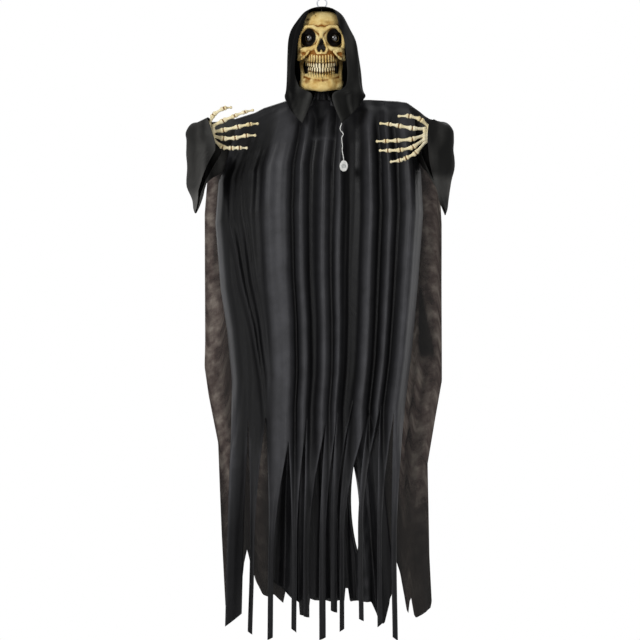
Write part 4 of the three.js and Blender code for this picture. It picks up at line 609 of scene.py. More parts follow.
def finish(name):
    """The named finish, made once."""
    makers = {
        "satin": satin_weave,
        "crepe": crepe_weave,
        "voile": voile_weave,
        "gauze": gauze_weave,
        # Blow-moulded polyethylene skull, painted bone and wiped with brown: pale ridges, tan hollows.
        "skull": lambda: aged_bone("painted polyethylene skull, blow moulded",
                                   "bone", "#d8bd7c", "#bf9a55", "wash", "#0d0806"),
        # Injection-moulded polyethylene hands, cream with brown wiped into each joint.
        "hand": lambda: aged_bone("painted polyethylene bones, injection moulded",
                                  "hands", "#e6d9b2", "#d8c795", "#8d6436", "#3a2613"),
        # Painted polyethylene teeth: ivory, browner towards the gum, and near black where shade between and
        # behind them is painted.
        "tooth": lambda: aged_bone("painted polyethylene teeth, moulded",
                                   "#f0e6c6", "#e4d6ae", "#cfba85", "#7a5622", "#140c08"),
        # Zinc-plated mild steel: cool grey, lightly scratched.
        "zinc": lambda: moulded("zinc-plated mild steel, bright", "#c9ccd0", "#a9adb3", 1.2, 12,
                                Metallic=1.0, Roughness=0.34),
        # Black ABS, spark-eroded mould: an even fine grain with little shine.
        "abs": lambda: moulded("black ABS, spark-eroded mould", "#26262a", "#1b1b1e", 1.1, 30, bump=0.4,
                               Roughness=0.5),
        # Pale grey ABS from a polished mould: smooth, with a small clear gleam.
        "grey_abs": lambda: moulded("pale grey ABS, polished mould", "#d4d4d0", "#bcbcb8", 2.0, 6,
                                    Roughness=0.3),
        # Grey ABS from a satin mould: darker than its housing, with a softer gleam.
        "cap_abs": lambda: moulded("grey ABS cap, satin mould", "#aeb0ae", "#8f918f", 1.0, 5,
                                   Roughness=0.42),
        # Natural acetal: milky white and slightly waxy.
        "acetal": lambda: moulded("natural acetal, injection moulded", "#ecebe4", "#dddcd2", 1.5, 9,
                                  Roughness=0.35),
        # White PVC sheath over two twisted wires: clean white, softly shiny along each turn.
        "pvc": lambda: moulded("white PVC lead, extruded", "#e9e9e6", "#d2d2cf", 1.0, 8, Roughness=0.4),
        # Smoked acrylic lens: near black with a sharp wet highlight.
        "lens": lambda: moulded("smoked acrylic eye, polished", "#15100f", "#060505", 3.0, 14, bump=0.05,
                                Roughness=0.06, **{"Coat Weight": 0.6, "Coat Roughness": 0.03}),
        # Solder-masked laminate: deep green, slightly glossy.
        "board": lambda: moulded("green epoxy-glass laminate, solder masked", "#1f6a3b", "#124a28", 0.9, 5,
                                 Roughness=0.4),
        # Shrink-sleeved cells: dark blue-grey and smooth.
        "cell": lambda: moulded("shrink-sleeved alkaline cell", "#3b3f49", "#2c2f37", 2.0, 18,
                                Roughness=0.3),
        # Diffused epoxy: red right through, glossy.
        "led": lambda: moulded("red diffused LED, cast epoxy", "#b3221c", "#8b1713", 1.5, 4,
                               Roughness=0.2),
        # Paper cone in its basket: dull charcoal.
        "speaker": lambda: moulded("black paper cone and steel basket", "#3a3a3c", "#222224", 1.2, 8,
                                   Roughness=0.6),
    }
    if name not in MADE:
        MADE[name] = makers[name]()
    return MADE[name]


# ---------------------------------------------------------------------------
# Cloth shapes
# ---------------------------------------------------------------------------


def shoulder_drop(x):
    """Drop of the shoulders' crest under the ring."""
    return along(SHOULDER_LINE, x / ROBE_HALF) * NECK_DROP


def crest_stand(x, layer):
    """How far the cloth's crest stands off the middle: over the bar's edge or against the yoke, and
    round the neck, with the layer's own place on top."""
    low = np.where(shoulder_drop(x) > LOW_CREST, 14.3, 3.4)
    scoop = NECK_SCOOP * (1 + np.cos(math.pi * np.minimum(np.abs(x / SCOOP_HALF), 1))) / 2
    return low + layer + scoop


def edge_curl(share, hung):
    """Share of its depth that the cloth keeps near its two edges."""
    return 1 + (along(EDGE_CURL, share) - 1) * along(CURL_REACH, hung)


FOLD_LINE = softened(FOLDS, 0.011)


def fold_height(share, hung):
    """Ridges and valleys of the robe's folds, which wander a little on their way down."""
    drift = share + 0.006 * ripple(5, 9 * share, 3.2 * hung) * np.minimum(hung * 4, 1)
    line = np.interp(drift, np.linspace(0, 1, 401), FOLD_LINE)
    for middle, lean, tall in SLANT_FOLDS:
        off = (share - middle - lean * (hung - 0.5)) / 0.013
        line = line + tall * np.exp(-off ** 2) * ease(hung, 0.12, 0.25) * (1 - ease(hung, 0.5, 0.62))
    return line


def narrowed(run):
    """How far a strip has narrowed from petal to ribbon; run goes from its slit to its foot."""
    return 1 - (1 - np.clip(run / SLIT_TAPER, 0, 1)) ** 1.7


def robe_front_points(cells, rows):
    """Outer face of the robe's front: eleven strips side by side, slit from below the waist."""
    strips = len(STRIP_FEET)
    hung = (np.arange(rows + 1) / rows)[None, :]
    within = (np.arange(cells + 1) / cells)[:, None]
    left, right = along(ROBE_LEFT, hung) * ROBE_HALF, along(ROBE_RIGHT, hung) * ROBE_HALF
    crest_left, crest_right = ROBE_LEFT[0][1], ROBE_RIGHT[0][1]
    growth = along(FOLD_GROWTH, hung)
    faces, ridges = [], []
    for strip in range(strips):
        low, high = STRIP_EDGES[strip], STRIP_EDGES[strip + 1]
        foot, width = STRIP_FEET[strip], STRIP_WIDTHS[strip]
        slit_low, slit_high = SLIT_STARTS[max(strip - 1, 0)], SLIT_STARTS[min(strip, strips - 2)]
        run_low = np.clip((hung - slit_low) / (1 - slit_low), 0, 1)
        run_high = np.clip((hung - slit_high) / (1 - slit_high), 0, 1)
        free = np.minimum(run_low, run_high)
        edge_low = low + (foot - width / 2 - low) * narrowed(run_low)
        edge_high = high + (foot + width / 2 - high) * narrowed(run_high)
        sway = 0.006 * ripple(31 + strip, 0.37 * strip + 0 * hung, 7 * hung) * free
        share = edge_low + (edge_high - edge_low) * within + sway
        x = left + (right - left) * share
        flat_share = low + (high - low) * within + 0 * hung
        crest_x = (crest_left + (crest_right - crest_left) * flat_share) * ROBE_HALF
        top = shoulder_drop(crest_x)
        z = -top - (FIGURE_DROP - top) * hung * (1 + (STRIP_LENGTHS[strip] - 1) * free)
        z = z - STRIP_SLANTS[strip] * (within - 0.5) * ease(hung, 0.9, 1)
        line = fold_height(share, hung)
        fold = line * FOLD_DEPTH * growth
        fold = fold + 3.2 * ripple(11, 46 * share, 2.3 * hung) * np.minimum(hung * 8, 1) * growth
        fold = fold + 1.6 * ripple(12, 90 * share, 4.5 * hung) * np.minimum(hung * 8, 1)
        hanging = (ROBE_FORWARD * along(ROBE_DEPTH, hung) + fold) * edge_curl(flat_share, hung)
        depth = np.where(hung < 0.09, np.maximum(crest_stand(crest_x, 3), hanging), hanging)
        # Each strip turns and bows as it narrows.
        turned = math.tan(math.radians(STRIP_TURNS[strip]))
        wide = (edge_high - edge_low) * (right - left)
        bowed = (2 * within - 1) ** 2 * np.minimum(wide, 30) * 0.22
        depth = depth + ((within - 0.5) * wide * turned * ease(free, 0.15, 0.6)
                         - bowed * ease(free, 0.05, 0.35))
        # The top edge of the chest case presses on the cloth and shows as a faint level line, pressed in
        # and painted as a highlight.
        pressed = np.exp(-((z + 412) / 5) ** 2) * ease(x, -38, -28) * (1 - ease(x, 34, 44))
        faces.append(np.stack([x, -(depth + 2.6 * pressed), z + 0 * x], axis=2))
        # Painted light: the folds' ridges lighter and their valleys darker, less so where the folds are
        # shallow.
        lit = ease(line + 0.25 * ripple(13, 70 * share, 2 * hung), -0.7, 1.1) ** 1.3
        lit = 0.4 + (lit - 0.4) * np.minimum(growth * 1.3, 1)
        # Painted highlights along the cut edges. Below its petal each strip is painted darker, as a ribbon
        # in the next one's shade, and the cloth is painted darker near its top.
        lip = np.exp(-(np.minimum(within, 1 - within) * wide / 3.5) ** 2) * ease(free, 0.02, 0.12)
        shade = (1 - 0.72 * ease(free, 0.2, 0.6)) * (0.8 + 0.2 * ease(hung, 0.05, 0.3))
        ridges.append(np.clip((lit + 0.7 * lip) * shade + 0.35 * pressed, 0, 1))
    points = np.concatenate([face[:-1] for face in faces] + [faces[-1][-1:]])
    other = np.concatenate([faces[0][:1]] + [face[1:] for face in faces])
    ridge = np.concatenate([mark[:-1] for mark in ridges] + [ridges[-1][-1:]])
    return points, other, ridge


def over_crest(points, behind, lift):
    """Adds rows that carry a sheet over the yoke at the shoulders: behind is where they end, measured
    from the middle, and lift is how far they stand over the crest."""
    top = points[:, 0]
    reach = ease(np.abs(top[:, 0]), 70, 105)
    rows = []
    for share in (1.0, 0.55):
        row = top.copy()
        row[:, 1] = top[:, 1] + (behind - top[:, 1]) * share * reach
        row[:, 2] = top[:, 2] + lift * reach
        rows.append(row[:, None])
    return np.concatenate(rows + [points], axis=1)


def crested(mark):
    """A mark with the two rows that over_crest adds."""
    return {"ridge": np.concatenate([mark[:, :1], mark[:, :1], mark], axis=1)}


def panel_points(columns, rows, half, left_table, right_table, hem, set_back, layer, fold, folds,
                 curled, seed, slits=()):
    """A hanging back panel, outer face, with its slits. hem is (share, drop) rows; half, set_back,
    layer and fold are in mm; slits are rows of share and width."""
    share = (np.arange(columns + 1) / columns)[:, None]
    hung = ((np.arange(rows + 1) / rows) ** 1.1)[None, :]
    left, right = along(left_table, hung) * half, along(right_table, hung) * half
    x = left + (right - left) * share
    crest_x = (left_table[0][1] + (right_table[0][1] - left_table[0][1]) * share) * half + 0 * hung
    top = shoulder_drop(crest_x)
    z = -top - (along(hem, share) - top) * hung
    grown = np.minimum(folds * hung, 1) * np.minimum(hung / 0.1, 1)
    wander = (share + 0.045 * ripple(seed, 4.3 * share, 1.3 * hung)
              + 0.012 * ripple(seed, 9 * share, 4 * hung))
    wave = np.cos(2 * math.pi * folds * wander) * fold * grown
    wave = wave + (4.5 * ripple(seed + 1, 30 * share, 3 * hung)
                   + 2.4 * ripple(seed + 2, 62 * share, 9 * hung)) * grown
    curl = edge_curl(share, hung) if curled else 1
    hanging = (set_back * along(BACK_DEPTH, hung) + wave) * curl
    depth = np.where(hung < 0.09, np.maximum(crest_stand(crest_x, layer), hanging), hanging)
    points = np.stack([x, depth, z + 0 * x], axis=2)
    # Painted light and shade: lighter and darker in bands that follow the folds and in random patches, and
    # darker towards the bottom.
    ridge = np.clip(0.5 + 0.3 * np.cos(2 * math.pi * folds * wander)
                    + 0.45 * ripple(seed + 3, 17 * share, 5 * hung)
                    + 0.3 * ripple(seed + 4, 44 * share, 15 * hung), 0, 1)
    ridge = ridge * (1 - 0.8 * ease(hung, 0.64, 0.86))
    other = points.copy()
    for place, width in slits:
        column = int(round(place * columns))
        run = np.clip((z[column] + SLIT_TOP) / (SLIT_TOP - SLIT_END), 0, 1)
        open_by = width * np.sin(math.pi * run) ** 0.8
        spread = np.exp(-((np.arange(columns + 1) - column) / 5.0) ** 2)[:, None] * open_by / 2
        side = np.sign(np.arange(columns + 1) - column)[:, None]
        points[..., 0] += spread * np.where(side == 0, 1, side)
        other[..., 0] += spread * np.where(side == 0, -1, side)
    return points, other, ridge


# Arcs of the hood from its face opening to the seam behind. Each runs from the crown to the hem: out,
# back and down, as shares of HOOD_SIZE.
HOOD_ARCS = [
    [(0, -.8, .035), (.33, -.84, .055), (.51, -.9, .22), (.62, -.86, .43), (.6, -.88, .7),
     (.25, -1.02, .8), (.5, -0.98, 1.035)],
    [(0, -.6, .008), (.46, -.64, .06), (.77, -.62, .22), (.9, -.58, .43), (.96, -.58, .7),
     (1, -.64, .79), (.95, -.74, .87)],
    [(0, 0, 0), (.47, 0, .048), (.8, 0, .22), (.92, 0, .43), (1, 0, .7), (1.02, -.04, .765),
     (1.03, -.06, .795)],
    [(0, .6, .04), (.36, .64, .09), (.62, .68, .22), (.74, .72, .43), (.78, .76, .7), (.82, .76, .8),
     (.84, .78, .88)],
    [(0, .86, .12), (0, .92, .18), (0, .98, .27), (0, 1, .43), (0, 1, .7), (0, .92, .81),
     (0, .84, .92)],
]
HOOD_SIZE = np.array([113, 100, 334])
HOOD_TOP = 29


def hood_points(columns, rows):
    """The hood from its face opening round to the seam behind, left hem to right hem."""
    t = np.linspace(-1, 1, columns + 1)
    arcs = []
    for arc in HOOD_ARCS:
        knots = np.array(arc, float)
        both = np.concatenate([knots[:0:-1] * (-1, 1, 1), knots])
        arcs.append(smooth(both, (t + 1) / 2))
    arcs = np.array(arcs)
    place = np.linspace(0, 1, rows + 1)
    grid = smooth(arcs, place).transpose(1, 0, 2)
    points = grid * HOOD_SIZE * (1, 1, -1) - (0, 0, HOOD_TOP)
    drop = -points[..., 2] - HOOD_TOP
    # It leans: narrower behind and wider at the cheek on the left.
    lean = 0.1 * ease(drop, 60, 190) * ease(place, 0.1, 0.3)[None] - 0.08 * ease(drop, 60, 130) * (
        1 - ease(drop, 190, 240)) * (1 - ease(place, 0, 0.2))[None]
    points[..., 0] *= 1 - lean * (points[..., 0] < 0)
    # Its crown is flat and falls away steeply, more so on the right.
    right = points[..., 0] > 0
    points[..., 0] *= 1 - np.where(right, 0.1 * np.exp(-((drop - 52) / 36) ** 2),
                                   0.05 * np.exp(-((drop - 32) / 24) ** 2))
    points[..., 1] -= 7 * ease(drop, 235, 320) * (1 - ease(place, 0, 0.14))[None]
    across, back = t[:, None] + 0 * place, place[None] + 0 * t[:, None]
    out = np.stack([points[..., 0] / 113, points[..., 1] / 100, 0 * across], axis=2)
    out /= np.maximum(np.linalg.norm(out, axis=2, keepdims=True), 0.3)
    folds = (4.4 * ripple(41, 5 * across + 9, 6 * back + 3) * ease(drop, 70, 200)
             + 4.8 * ripple(42, 2.4 * across + 3, 11 * back) * ease(back, 0.02, 0.12)
             + 1.2 * ripple(45, 7 * across + 8, 24 * back))
    return points + out * folds[..., None]


# Loops of a sleeve from armhole to cuff: out and forward as shares of the arm, lift in tubes, drop and
# width as shares of the largest, slant of the cuff, and the way it faces in degrees.
SLEEVE_STATIONS = [
    (-0.2, 0, -0.5, 0.28, 0.5, 0, 0), (0.16, 0, 0, 0.52, 0.9, 0, 0), (0.55, 0, 0, 0.6, 0.98, 0, 0),
    (0.9, 0.05, 0.15, 0.72, 0.95, 0, 38), (0.96, 0.4, 0.22, 0.8, 0.78, 0.1, 88),
    (0.85, 0.75, 0.45, 0.9, 0.98, 0.5, 118), (0.58, 1.06, 1.4, 1, 1, 1, 165),
]
SLEEVE_WIDTH = 84
SLEEVE_DROP = 272
SLEEVE_CLEARANCE = 3.3
# One loop, from its top down the front and up the back.
SLEEVE_LOOP = [
    (0, 0), (0.5, 0.03), (0.92, 0.14), (1, 0.32), (0.95, 0.6), (0.7, 0.87), (0, 1), (-0.7, 0.87),
    (-0.95, 0.6), (-1, 0.32), (-0.92, 0.14), (-0.5, 0.03),
]
# Top of each shoulder and sleeve: distance from the middle and drop under the ring.
SHOULDER_TOPS = {
    -1: [(240, 357), (252, 351), (262, 349), (280, 353), (309, 359), (344, 359.5), (376, 372), (384, 386)],
    1: [(240, 322), (252, 313), (265, 315), (285, 329), (300, 342), (313, 350), (342, 357), (357, 364),
        (370, 381)],
}
# Edge of each cuff towards the middle: drop under the ring and distance from the middle.
CUFF_EDGES = {
    -1: [(369, 323), (400, 312), (432, 303), (461, 301), (503, 322), (550, 344), (573, 358), (612, 364)],
    1: [(372, 304), (400, 298), (440, 297), (480, 300), (520, 307), (560, 318), (600, 335), (625, 348)],
}
# How far the cuff slants on its way down, as a share of the arm.
CUFF_SLANT = [(0, 0), (0.24, -0.2), (0.35, -0.23), (0.51, 0), (0.68, 0.21), (0.8, 0.4), (1, 0.48)]


def sleeve_points(elbow, wrist_drop, side, around, rows, seed):
    """A bell sleeve as loops from the armhole to the long cuff."""
    place = np.linspace(0, 1, rows + 1)
    out, front, lift, drop, half, slant, heading = smooth(SLEEVE_STATIONS, place).T
    loop = np.array(SLEEVE_LOOP + SLEEVE_LOOP[:1], float)
    # The loop is closed, so the curve runs on past its own start and end.
    ring = np.concatenate([loop[-3:-1], loop, loop[1:3]])
    turn = np.linspace(0, 1, around + 1)
    across, down = smooth(ring, (2 + 12 * turn) / (len(ring) - 1)).T
    across, down = across[:, None], down[:, None]
    reach = elbow - SHOULDER_SPAN
    half_mm = half * SLEEVE_WIDTH / 2
    heading = np.radians(heading)
    slide = along(CUFF_SLANT, down) * slant * reach
    x = SHOULDER_SPAN + out * reach + across * half_mm * np.sin(heading) + slide
    y = -front * WRIST_FORWARD + across * half_mm * np.cos(heading)
    own = (-(ARM_DROP + (wrist_drop - ARM_DROP) * front) + ARM_TUBE / 2 + SLEEVE_CLEARANCE
           + lift * ARM_TUBE)
    ridge = -along(SHOULDER_TOPS[side], SHOULDER_SPAN + out * reach)
    top = own + (ridge - own) * (1 - ease(front, 0.02, 0.5))
    z = top - down * drop * SLEEVE_DROP
    lip = along(CUFF_EDGES[side], -z)
    x = x + (lip - x) * ease(place, 0.72, 1) * ease(across, 0.1, 0.8)
    phase = 2 * math.pi * turn[:, None]
    folds = (3.2 * np.sin(5 * phase + 2.5 * place + seed) * ease(place, 0.15, 0.6)
             + 2 * np.sin(9 * phase - 4 * place + 2 * seed) * ease(place, 0.1, 0.5)) * ease(down, 0.05, 0.3)
    x = x + folds * np.sign(across) * np.abs(np.sin(heading))
    y = y + folds * np.sign(across) * np.cos(heading)
    x = x - 13 * ease(-z, 450, 540) * ease(x, 330, 370)
    # The front hangs clear of the wrist.
    y = y - 25 * ease(across, 0.1, 0.8) * ease(place, 0.5, 0.78) * (1 - 0.75 * ease(place, 0.9, 1))
    return np.stack([side * x, y + 0 * x, z + 0 * x], axis=2)


# ---------------------------------------------------------------------------
# Operators
# ---------------------------------------------------------------------------


class ReaperCloth(bpy.types.PropertyGroup):
    """Sizes of the cloth."""

    thickness: FloatProperty(
        name="Cloth thickness", description="Thickness of every sheet", default=0.0009, unit="LENGTH")


class ReaperStage(bpy.types.PropertyGroup):
    """Camera, floor and light."""

    camera: FloatVectorProperty(
        name="Camera", description="Where the camera stands", default=(-0.0058, -5.06, -0.938),
        subtype="TRANSLATION")
    view_width: FloatProperty(
        name="View width", description="Width of the picture at the robe's front", default=1.849,
        unit="LENGTH")
    floor_drop: FloatProperty(
        name="Floor", description="How far the floor lies under the ring", default=2.1, unit="LENGTH")


SENSOR = 36
# How far the robe's front stands before the ring, in metres.
ROBE_PLANE = 0.06
FLOOR_RADIUS = 1.15
FLOOR_CORNERS = 96
# Each lamp: where it stands, what it points at, its width in metres and its power in watts.
LAMPS = (
    ("key", (-2.5, -3.0, 0.7), (0, 0, -0.7), 1.4, 105),
    ("fill", (2.3, -3.2, -0.2), (0, 0, -1.0), 2.0, 38),
    ("low", (-0.3, -3.6, -1.7), (0, 0, -1.0), 0.9, 22),
    ("back", (0.6, 3.2, 0.3), (0, 0, -0.9), 2.2, 45),
)


class REAPER_OT_stage(bpy.types.Operator):
    """Camera, floor, world and lamps"""

    bl_idname = "reaper.stage"
    bl_label = "Stage"

    def execute(self, context):
        stage = context.scene.reaper_stage
        scene = context.scene
        scene.view_settings.view_transform = "Standard"
        camera = bpy.data.cameras.new("camera")
        camera.sensor_width = SENSOR
        distance = -stage.camera[1] - ROBE_PLANE
        camera.lens = SENSOR * distance / stage.view_width
        camera.clip_end = 60
        seat = bpy.data.objects.new("camera", camera)
        seat.location = stage.camera
        seat.rotation_euler = (math.pi / 2, 0, 0)
        scene.collection.objects.link(seat)
        scene.camera = seat
        turns = np.linspace(0, 2 * math.pi, FLOOR_CORNERS + 1)[:-1]
        ring = [(FLOOR_RADIUS * math.cos(a), FLOOR_RADIUS * math.sin(a), -stage.floor_drop) for a in turns]
        floor = link_mesh("floor", ring, [tuple(range(FLOOR_CORNERS))], materials=[self.floor_paint()])
        # A white world that gives little light itself but shows white to the eye.
        world = bpy.data.worlds.new("studio")
        world.use_nodes = True
        tree = world.node_tree
        tree.nodes.clear()
        path = add_node(tree, "ShaderNodeLightPath")
        seen = add_node(tree, "ShaderNodeMath", {
            0: (path, "Is Camera Ray"), 1: (path, "Is Transmission Ray")}, operation="MAXIMUM")
        shown = add_node(tree, "ShaderNodeMath", {
            0: (seen, "Value"), 1: (path, "Is Glossy Ray")}, operation="MAXIMUM")
        level = add_node(tree, "ShaderNodeMapRange", {
            "Value": (shown, "Value"), "To Min": 0.22, "To Max": 1.0})
        sky = add_node(tree, "ShaderNodeBackground", {"Strength": (level, "Result")})
        sky.inputs["Color"].default_value = (1, 1, 1, 1)
        add_node(tree, "ShaderNodeOutputWorld", {"Surface": (sky, "Background")})
        scene.world = world
        for name, place, aim, size, power in LAMPS:
            lamp = bpy.data.lights.new(name, "AREA")
            lamp.size = size
            lamp.energy = power
            stand = bpy.data.objects.new(name, lamp)
            stand.location = place
            stand.rotation_euler = (Vector(aim) - Vector(place)).to_track_quat("-Z", "Y").to_euler()
            scene.collection.objects.link(stand)
        return {"FINISHED"}

    def floor_paint(self):
        # Matt white emulsion on board, rolled: pale, and it keeps a faint shadow.
        material, tree = begin("white emulsion on board, rolled")
        place = add_node(tree, "ShaderNodeTexCoord")
        stipple = add_node(tree, "ShaderNodeTexNoise", {"Vector": (place, "Object"), "Scale": 180.0})
        bumped = add_node(tree, "ShaderNodeBump", {
            "Height": (stipple, "Fac"), "Strength": 0.1, "Distance": 0.001})
        matt = add_node(tree, "ShaderNodeBsdfPrincipled", {
            "Base Color": linear("#e9e9e9"), "Roughness": 0.9, "Normal": (bumped, "Normal")})
        glow = add_node(tree, "ShaderNodeEmission", {"Strength": 1.0})
        path = add_node(tree, "ShaderNodeLightPath")
        part = add_node(tree, "ShaderNodeMath", {0: (path, "Is Camera Ray"), 1: 0.6}, operation="MULTIPLY")
        both = add_node(tree, "ShaderNodeMixShader", {
            0: (part, "Value"), 1: (matt, "BSDF"), 2: (glow, "Emission")})
        add_node(tree, "ShaderNodeOutputMaterial", {"Surface": (both, "Shader")})
        return material


class REAPER_OT_lead(bpy.types.Operator):
    """Twisted try-me lead with its push button"""

    bl_idname = "reaper.lead"
    bl_label = "Try-me lead"

    def execute(self, context):
        samples, sides = 260, 10
        spine = smooth(LEAD_ROUTE, np.linspace(0, 1, samples))
        step = np.gradient(spine, axis=0)
        step /= np.linalg.norm(step, axis=1, keepdims=True)
        side = np.cross(step, (0, 1, 0.2))
        side /= np.linalg.norm(side, axis=1, keepdims=True)
        up = np.cross(side, step)
        run = np.concatenate([[0], np.cumsum(np.linalg.norm(np.diff(spine, axis=0), axis=1))])
        points, faces = [], []
        # Two strands wound round each other.
        for strand in (0, 1):
            turn = 2 * math.pi * run / TWIST_LENGTH + math.pi * strand
            centre = spine + STRAND_OFFSET * (np.cos(turn)[:, None] * side + np.sin(turn)[:, None] * up)
            at = strand * sides * samples
            n = np.arange(samples - 1)
            for k in range(sides):
                a = 2 * math.pi * k / sides
                points.append(centre + STRAND_RADIUS * (math.cos(a) * side + math.sin(a) * up))
                low, high = at + k * samples, at + (k + 1) % sides * samples
                faces.append(np.stack([low + n, low + n + 1, high + n + 1, high + n], axis=1))
            for end_at in (0, samples - 1):
                faces.append(at + np.array([[0, 3, 6, 9]]) * samples + end_at)
        lead = link_mesh("try_me_cord", np.concatenate(points) * MM, np.concatenate(faces),
                         materials=[finish("pvc")])
        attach(lead, "frame")
        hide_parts("try_me_lead")
        return {"FINISHED"}


class REAPER_OT_robe(bpy.types.Operator):
    """Robe front with its strips, and the robe's back"""

    bl_idname = "reaper.robe"
    bl_label = "Robe"

    def execute(self, context):
        cloth = context.scene.reaper_cloth
        points, other, ridge = robe_front_points(12, 190)
        front = lay_cloth("robe_front_cloth", over_crest(points, 4, 4), over_crest(other, 4, 4),
                          size=(0.9, 1.56), materials=[finish("satin")], marks=crested(ridge))
        thicken(front, cloth.thickness)
        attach(front, "frame")
        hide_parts("robe_front")
        points, other, ridge = panel_points(
            120, 150, ROBE_HALF, BACK_LEFT, BACK_RIGHT, BACK_HEM, set_back=78, layer=3.3, fold=12, folds=7,
            curled=True, seed=61, slits=[(0.73, 30)])
        # Right of the slit a patch of the back is painted lighter, as if turned towards the light.
        x, drop = points[..., 0], -points[..., 2]
        turned = ease(x, 100, 110) * (1 - ease(x, 134, 146)) * ease(drop, 1280, 1400)
        ridge = np.clip(ridge + turned * (0.45 + 0.4 * ripple(71, x / 11, drop / 26)), 0, 1)
        back = lay_cloth("robe_back_cloth", over_crest(points, -3, 3), over_crest(other, -3, 3),
                         size=(0.62, 1.45), flip=True, materials=[finish("satin")], marks=crested(ridge))
        thicken(back, cloth.thickness)
        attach(back, "frame")
        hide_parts("robe_back")
        return {"FINISHED"}


class REAPER_OT_cape(bpy.types.Operator):
    """Sheer cape behind the robe"""

    bl_idname = "reaper.cape"
    bl_label = "Gauze cape"

    def execute(self, context):
        cloth = context.scene.reaper_cloth
        points, other, ridge = panel_points(
            150, 170, CAPE_HALF * CAPE_SPREAD, CAPE_LEFT, CAPE_RIGHT, CAPE_HEM, set_back=111, layer=8.5,
            fold=14, folds=7, curled=False, seed=81, slits=[(0.65, 34)])
        # Painted shadow: a band by the right side is painted dark, as a slack fold hanging in its own
        # shadow.
        x, drop = points[..., 0], -points[..., 2]
        painted_fold_shadow = ease(x, 286, 293) * (1 - ease(x - 293 - 0.19 * (drop - 834), 0, 5))
        # Painted light: the right side is painted lighter, fading out low down.
        ridge = np.clip(ridge + 0.2 * ease(x, 150, 300) * (1 - ease(drop, 1250, 1500)), 0, 1)
        ridge = ridge * (1 - 0.9 * painted_fold_shadow * ease(drop, 830, 850) * (1 - ease(drop, 1035, 1060)))
        cape = lay_cloth("gauze_cape_cloth", over_crest(points, 0, 5.5), over_crest(other, 0, 5.5),
                         size=(0.72, 1.5), flip=True, materials=[finish("gauze")], marks=crested(ridge))
        thicken(cape, cloth.thickness)
        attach(cape, "frame")
        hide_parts("gauze_cape")
        return {"FINISHED"}


class REAPER_OT_hood(bpy.types.Operator):
    """Hood and the gathered neck under the chin"""

    bl_idname = "reaper.hood"
    bl_label = "Hood"

    def execute(self, context):
        cloth = context.scene.reaper_cloth
        points = hood_points(96, 44)
        # Painted light and shade: long lighter and darker streaks for the hood's folds.
        ridge = 0.3 + 0.75 * ripple(43, points[..., 0] / 14 + 20, points[..., 2] / 110 + 20)
        edge = np.exp(-(np.arange(45) / 1.3) ** 2)
        # Painted highlights on the turned-out lapels: a broad fold on the left, a thin edge on the right;
        # the cloth round them is painted darker.
        x, drop = points[..., 0], -points[..., 2]
        low = ease(drop, 268, 292) * (points[..., 1] < -55)
        ridge = ridge * (1 - 0.6 * low)
        ridge = ridge + low * (0.9 * np.exp(-((x + 40 + 0.3 * (drop - 300)) / 9) ** 2)
                               + 0.5 * np.exp(-((x + 88 - 0.25 * (drop - 305)) / 4) ** 2)
                               + 0.7 * np.exp(-((x - 76 - 0.2 * (drop - 295)) / 4) ** 2)
                               + 1.1 * edge * (x > 0))
        ridge = np.clip(ridge, 0, 1)
        hood = lay_cloth("hood_cloth", points, size=(0.85, 0.42), flip=True, materials=[finish("crepe")],
                         marks={"ridge": ridge})
        thicken(hood, cloth.thickness * 1.3)
        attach(hood, "frame")
        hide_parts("hood")
        self.neck(cloth)
        return {"FINISHED"}

    def neck(self, cloth):
        """Gathered neck of the robe, which closes it under the chin."""
        across = np.linspace(-1, 1, 61)[:, None]
        down = np.linspace(0, 1, 25)[None]
        x = across * (52 + 34 * down)
        wave = np.cos(7.2 * math.pi * across + 1.2 * np.sin(3 * across + 1))
        y = -37 + 26 * across ** 2 - 6 * down + 3.5 * wave * (0.4 + 0.6 * down)
        # Its top edge dips at both sides, where the opened jaw comes down.
        z = -262 - 56 * down - 36 * ease(np.abs(across), 0.28, 0.48) * (1 - down)
        # Painted light on the gathers' crests, darker towards the top under the chin.
        piece = lay_cloth("neck_cloth", np.stack([x, y, z + 0 * x], axis=2), size=(0.2, 0.07),
                          materials=[finish("satin")],
                          marks={"ridge": (0.3 - 0.3 * wave) * (0.3 + 0.7 * down)})
        thicken(piece, cloth.thickness)
        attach(piece, "frame")


class REAPER_OT_sleeves(bpy.types.Operator):
    """Two bell sleeves"""

    bl_idname = "reaper.sleeves"
    bl_label = "Sleeves"

    def execute(self, context):
        cloth = context.scene.reaper_cloth
        for word, side, elbow, wrist, wrist_drop, length in ARMS:
            points = sleeve_points(elbow, wrist_drop, side, around=84, rows=56,
                                   seed=1.0 if side < 0 else 2.2)
            drop = -points[..., 2]
            # Painted light: pale at the tips, where light through the thin cloth is painted in; the left
            # sleeve is painted greyer overall.
            if side < 0:
                ridge = 0.6 * ease(drop, 560, 600) + 0.19
            else:
                ridge = 0.35 * ease(drop, 520, 545) * ease(-drop, -610, -580) + 0.06
            ridge = ridge + 0.2 * ripple(44, points[..., 0] / 14 + 40, drop / 80)
            sleeve = lay_cloth("sleeve_cloth_" + word, points, size=(0.42, 0.3), flip=side < 0, closed=True,
                               materials=[finish("voile")], marks={"ridge": np.clip(ridge, 0, 1)})
            thicken(sleeve, cloth.thickness)
            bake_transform(sleeve)
            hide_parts("sleeve_" + word)
        return {"FINISHED"}


# How fast the mouth line rises to its corners: mm for each square mm from the middle.
GRIN = 0.006
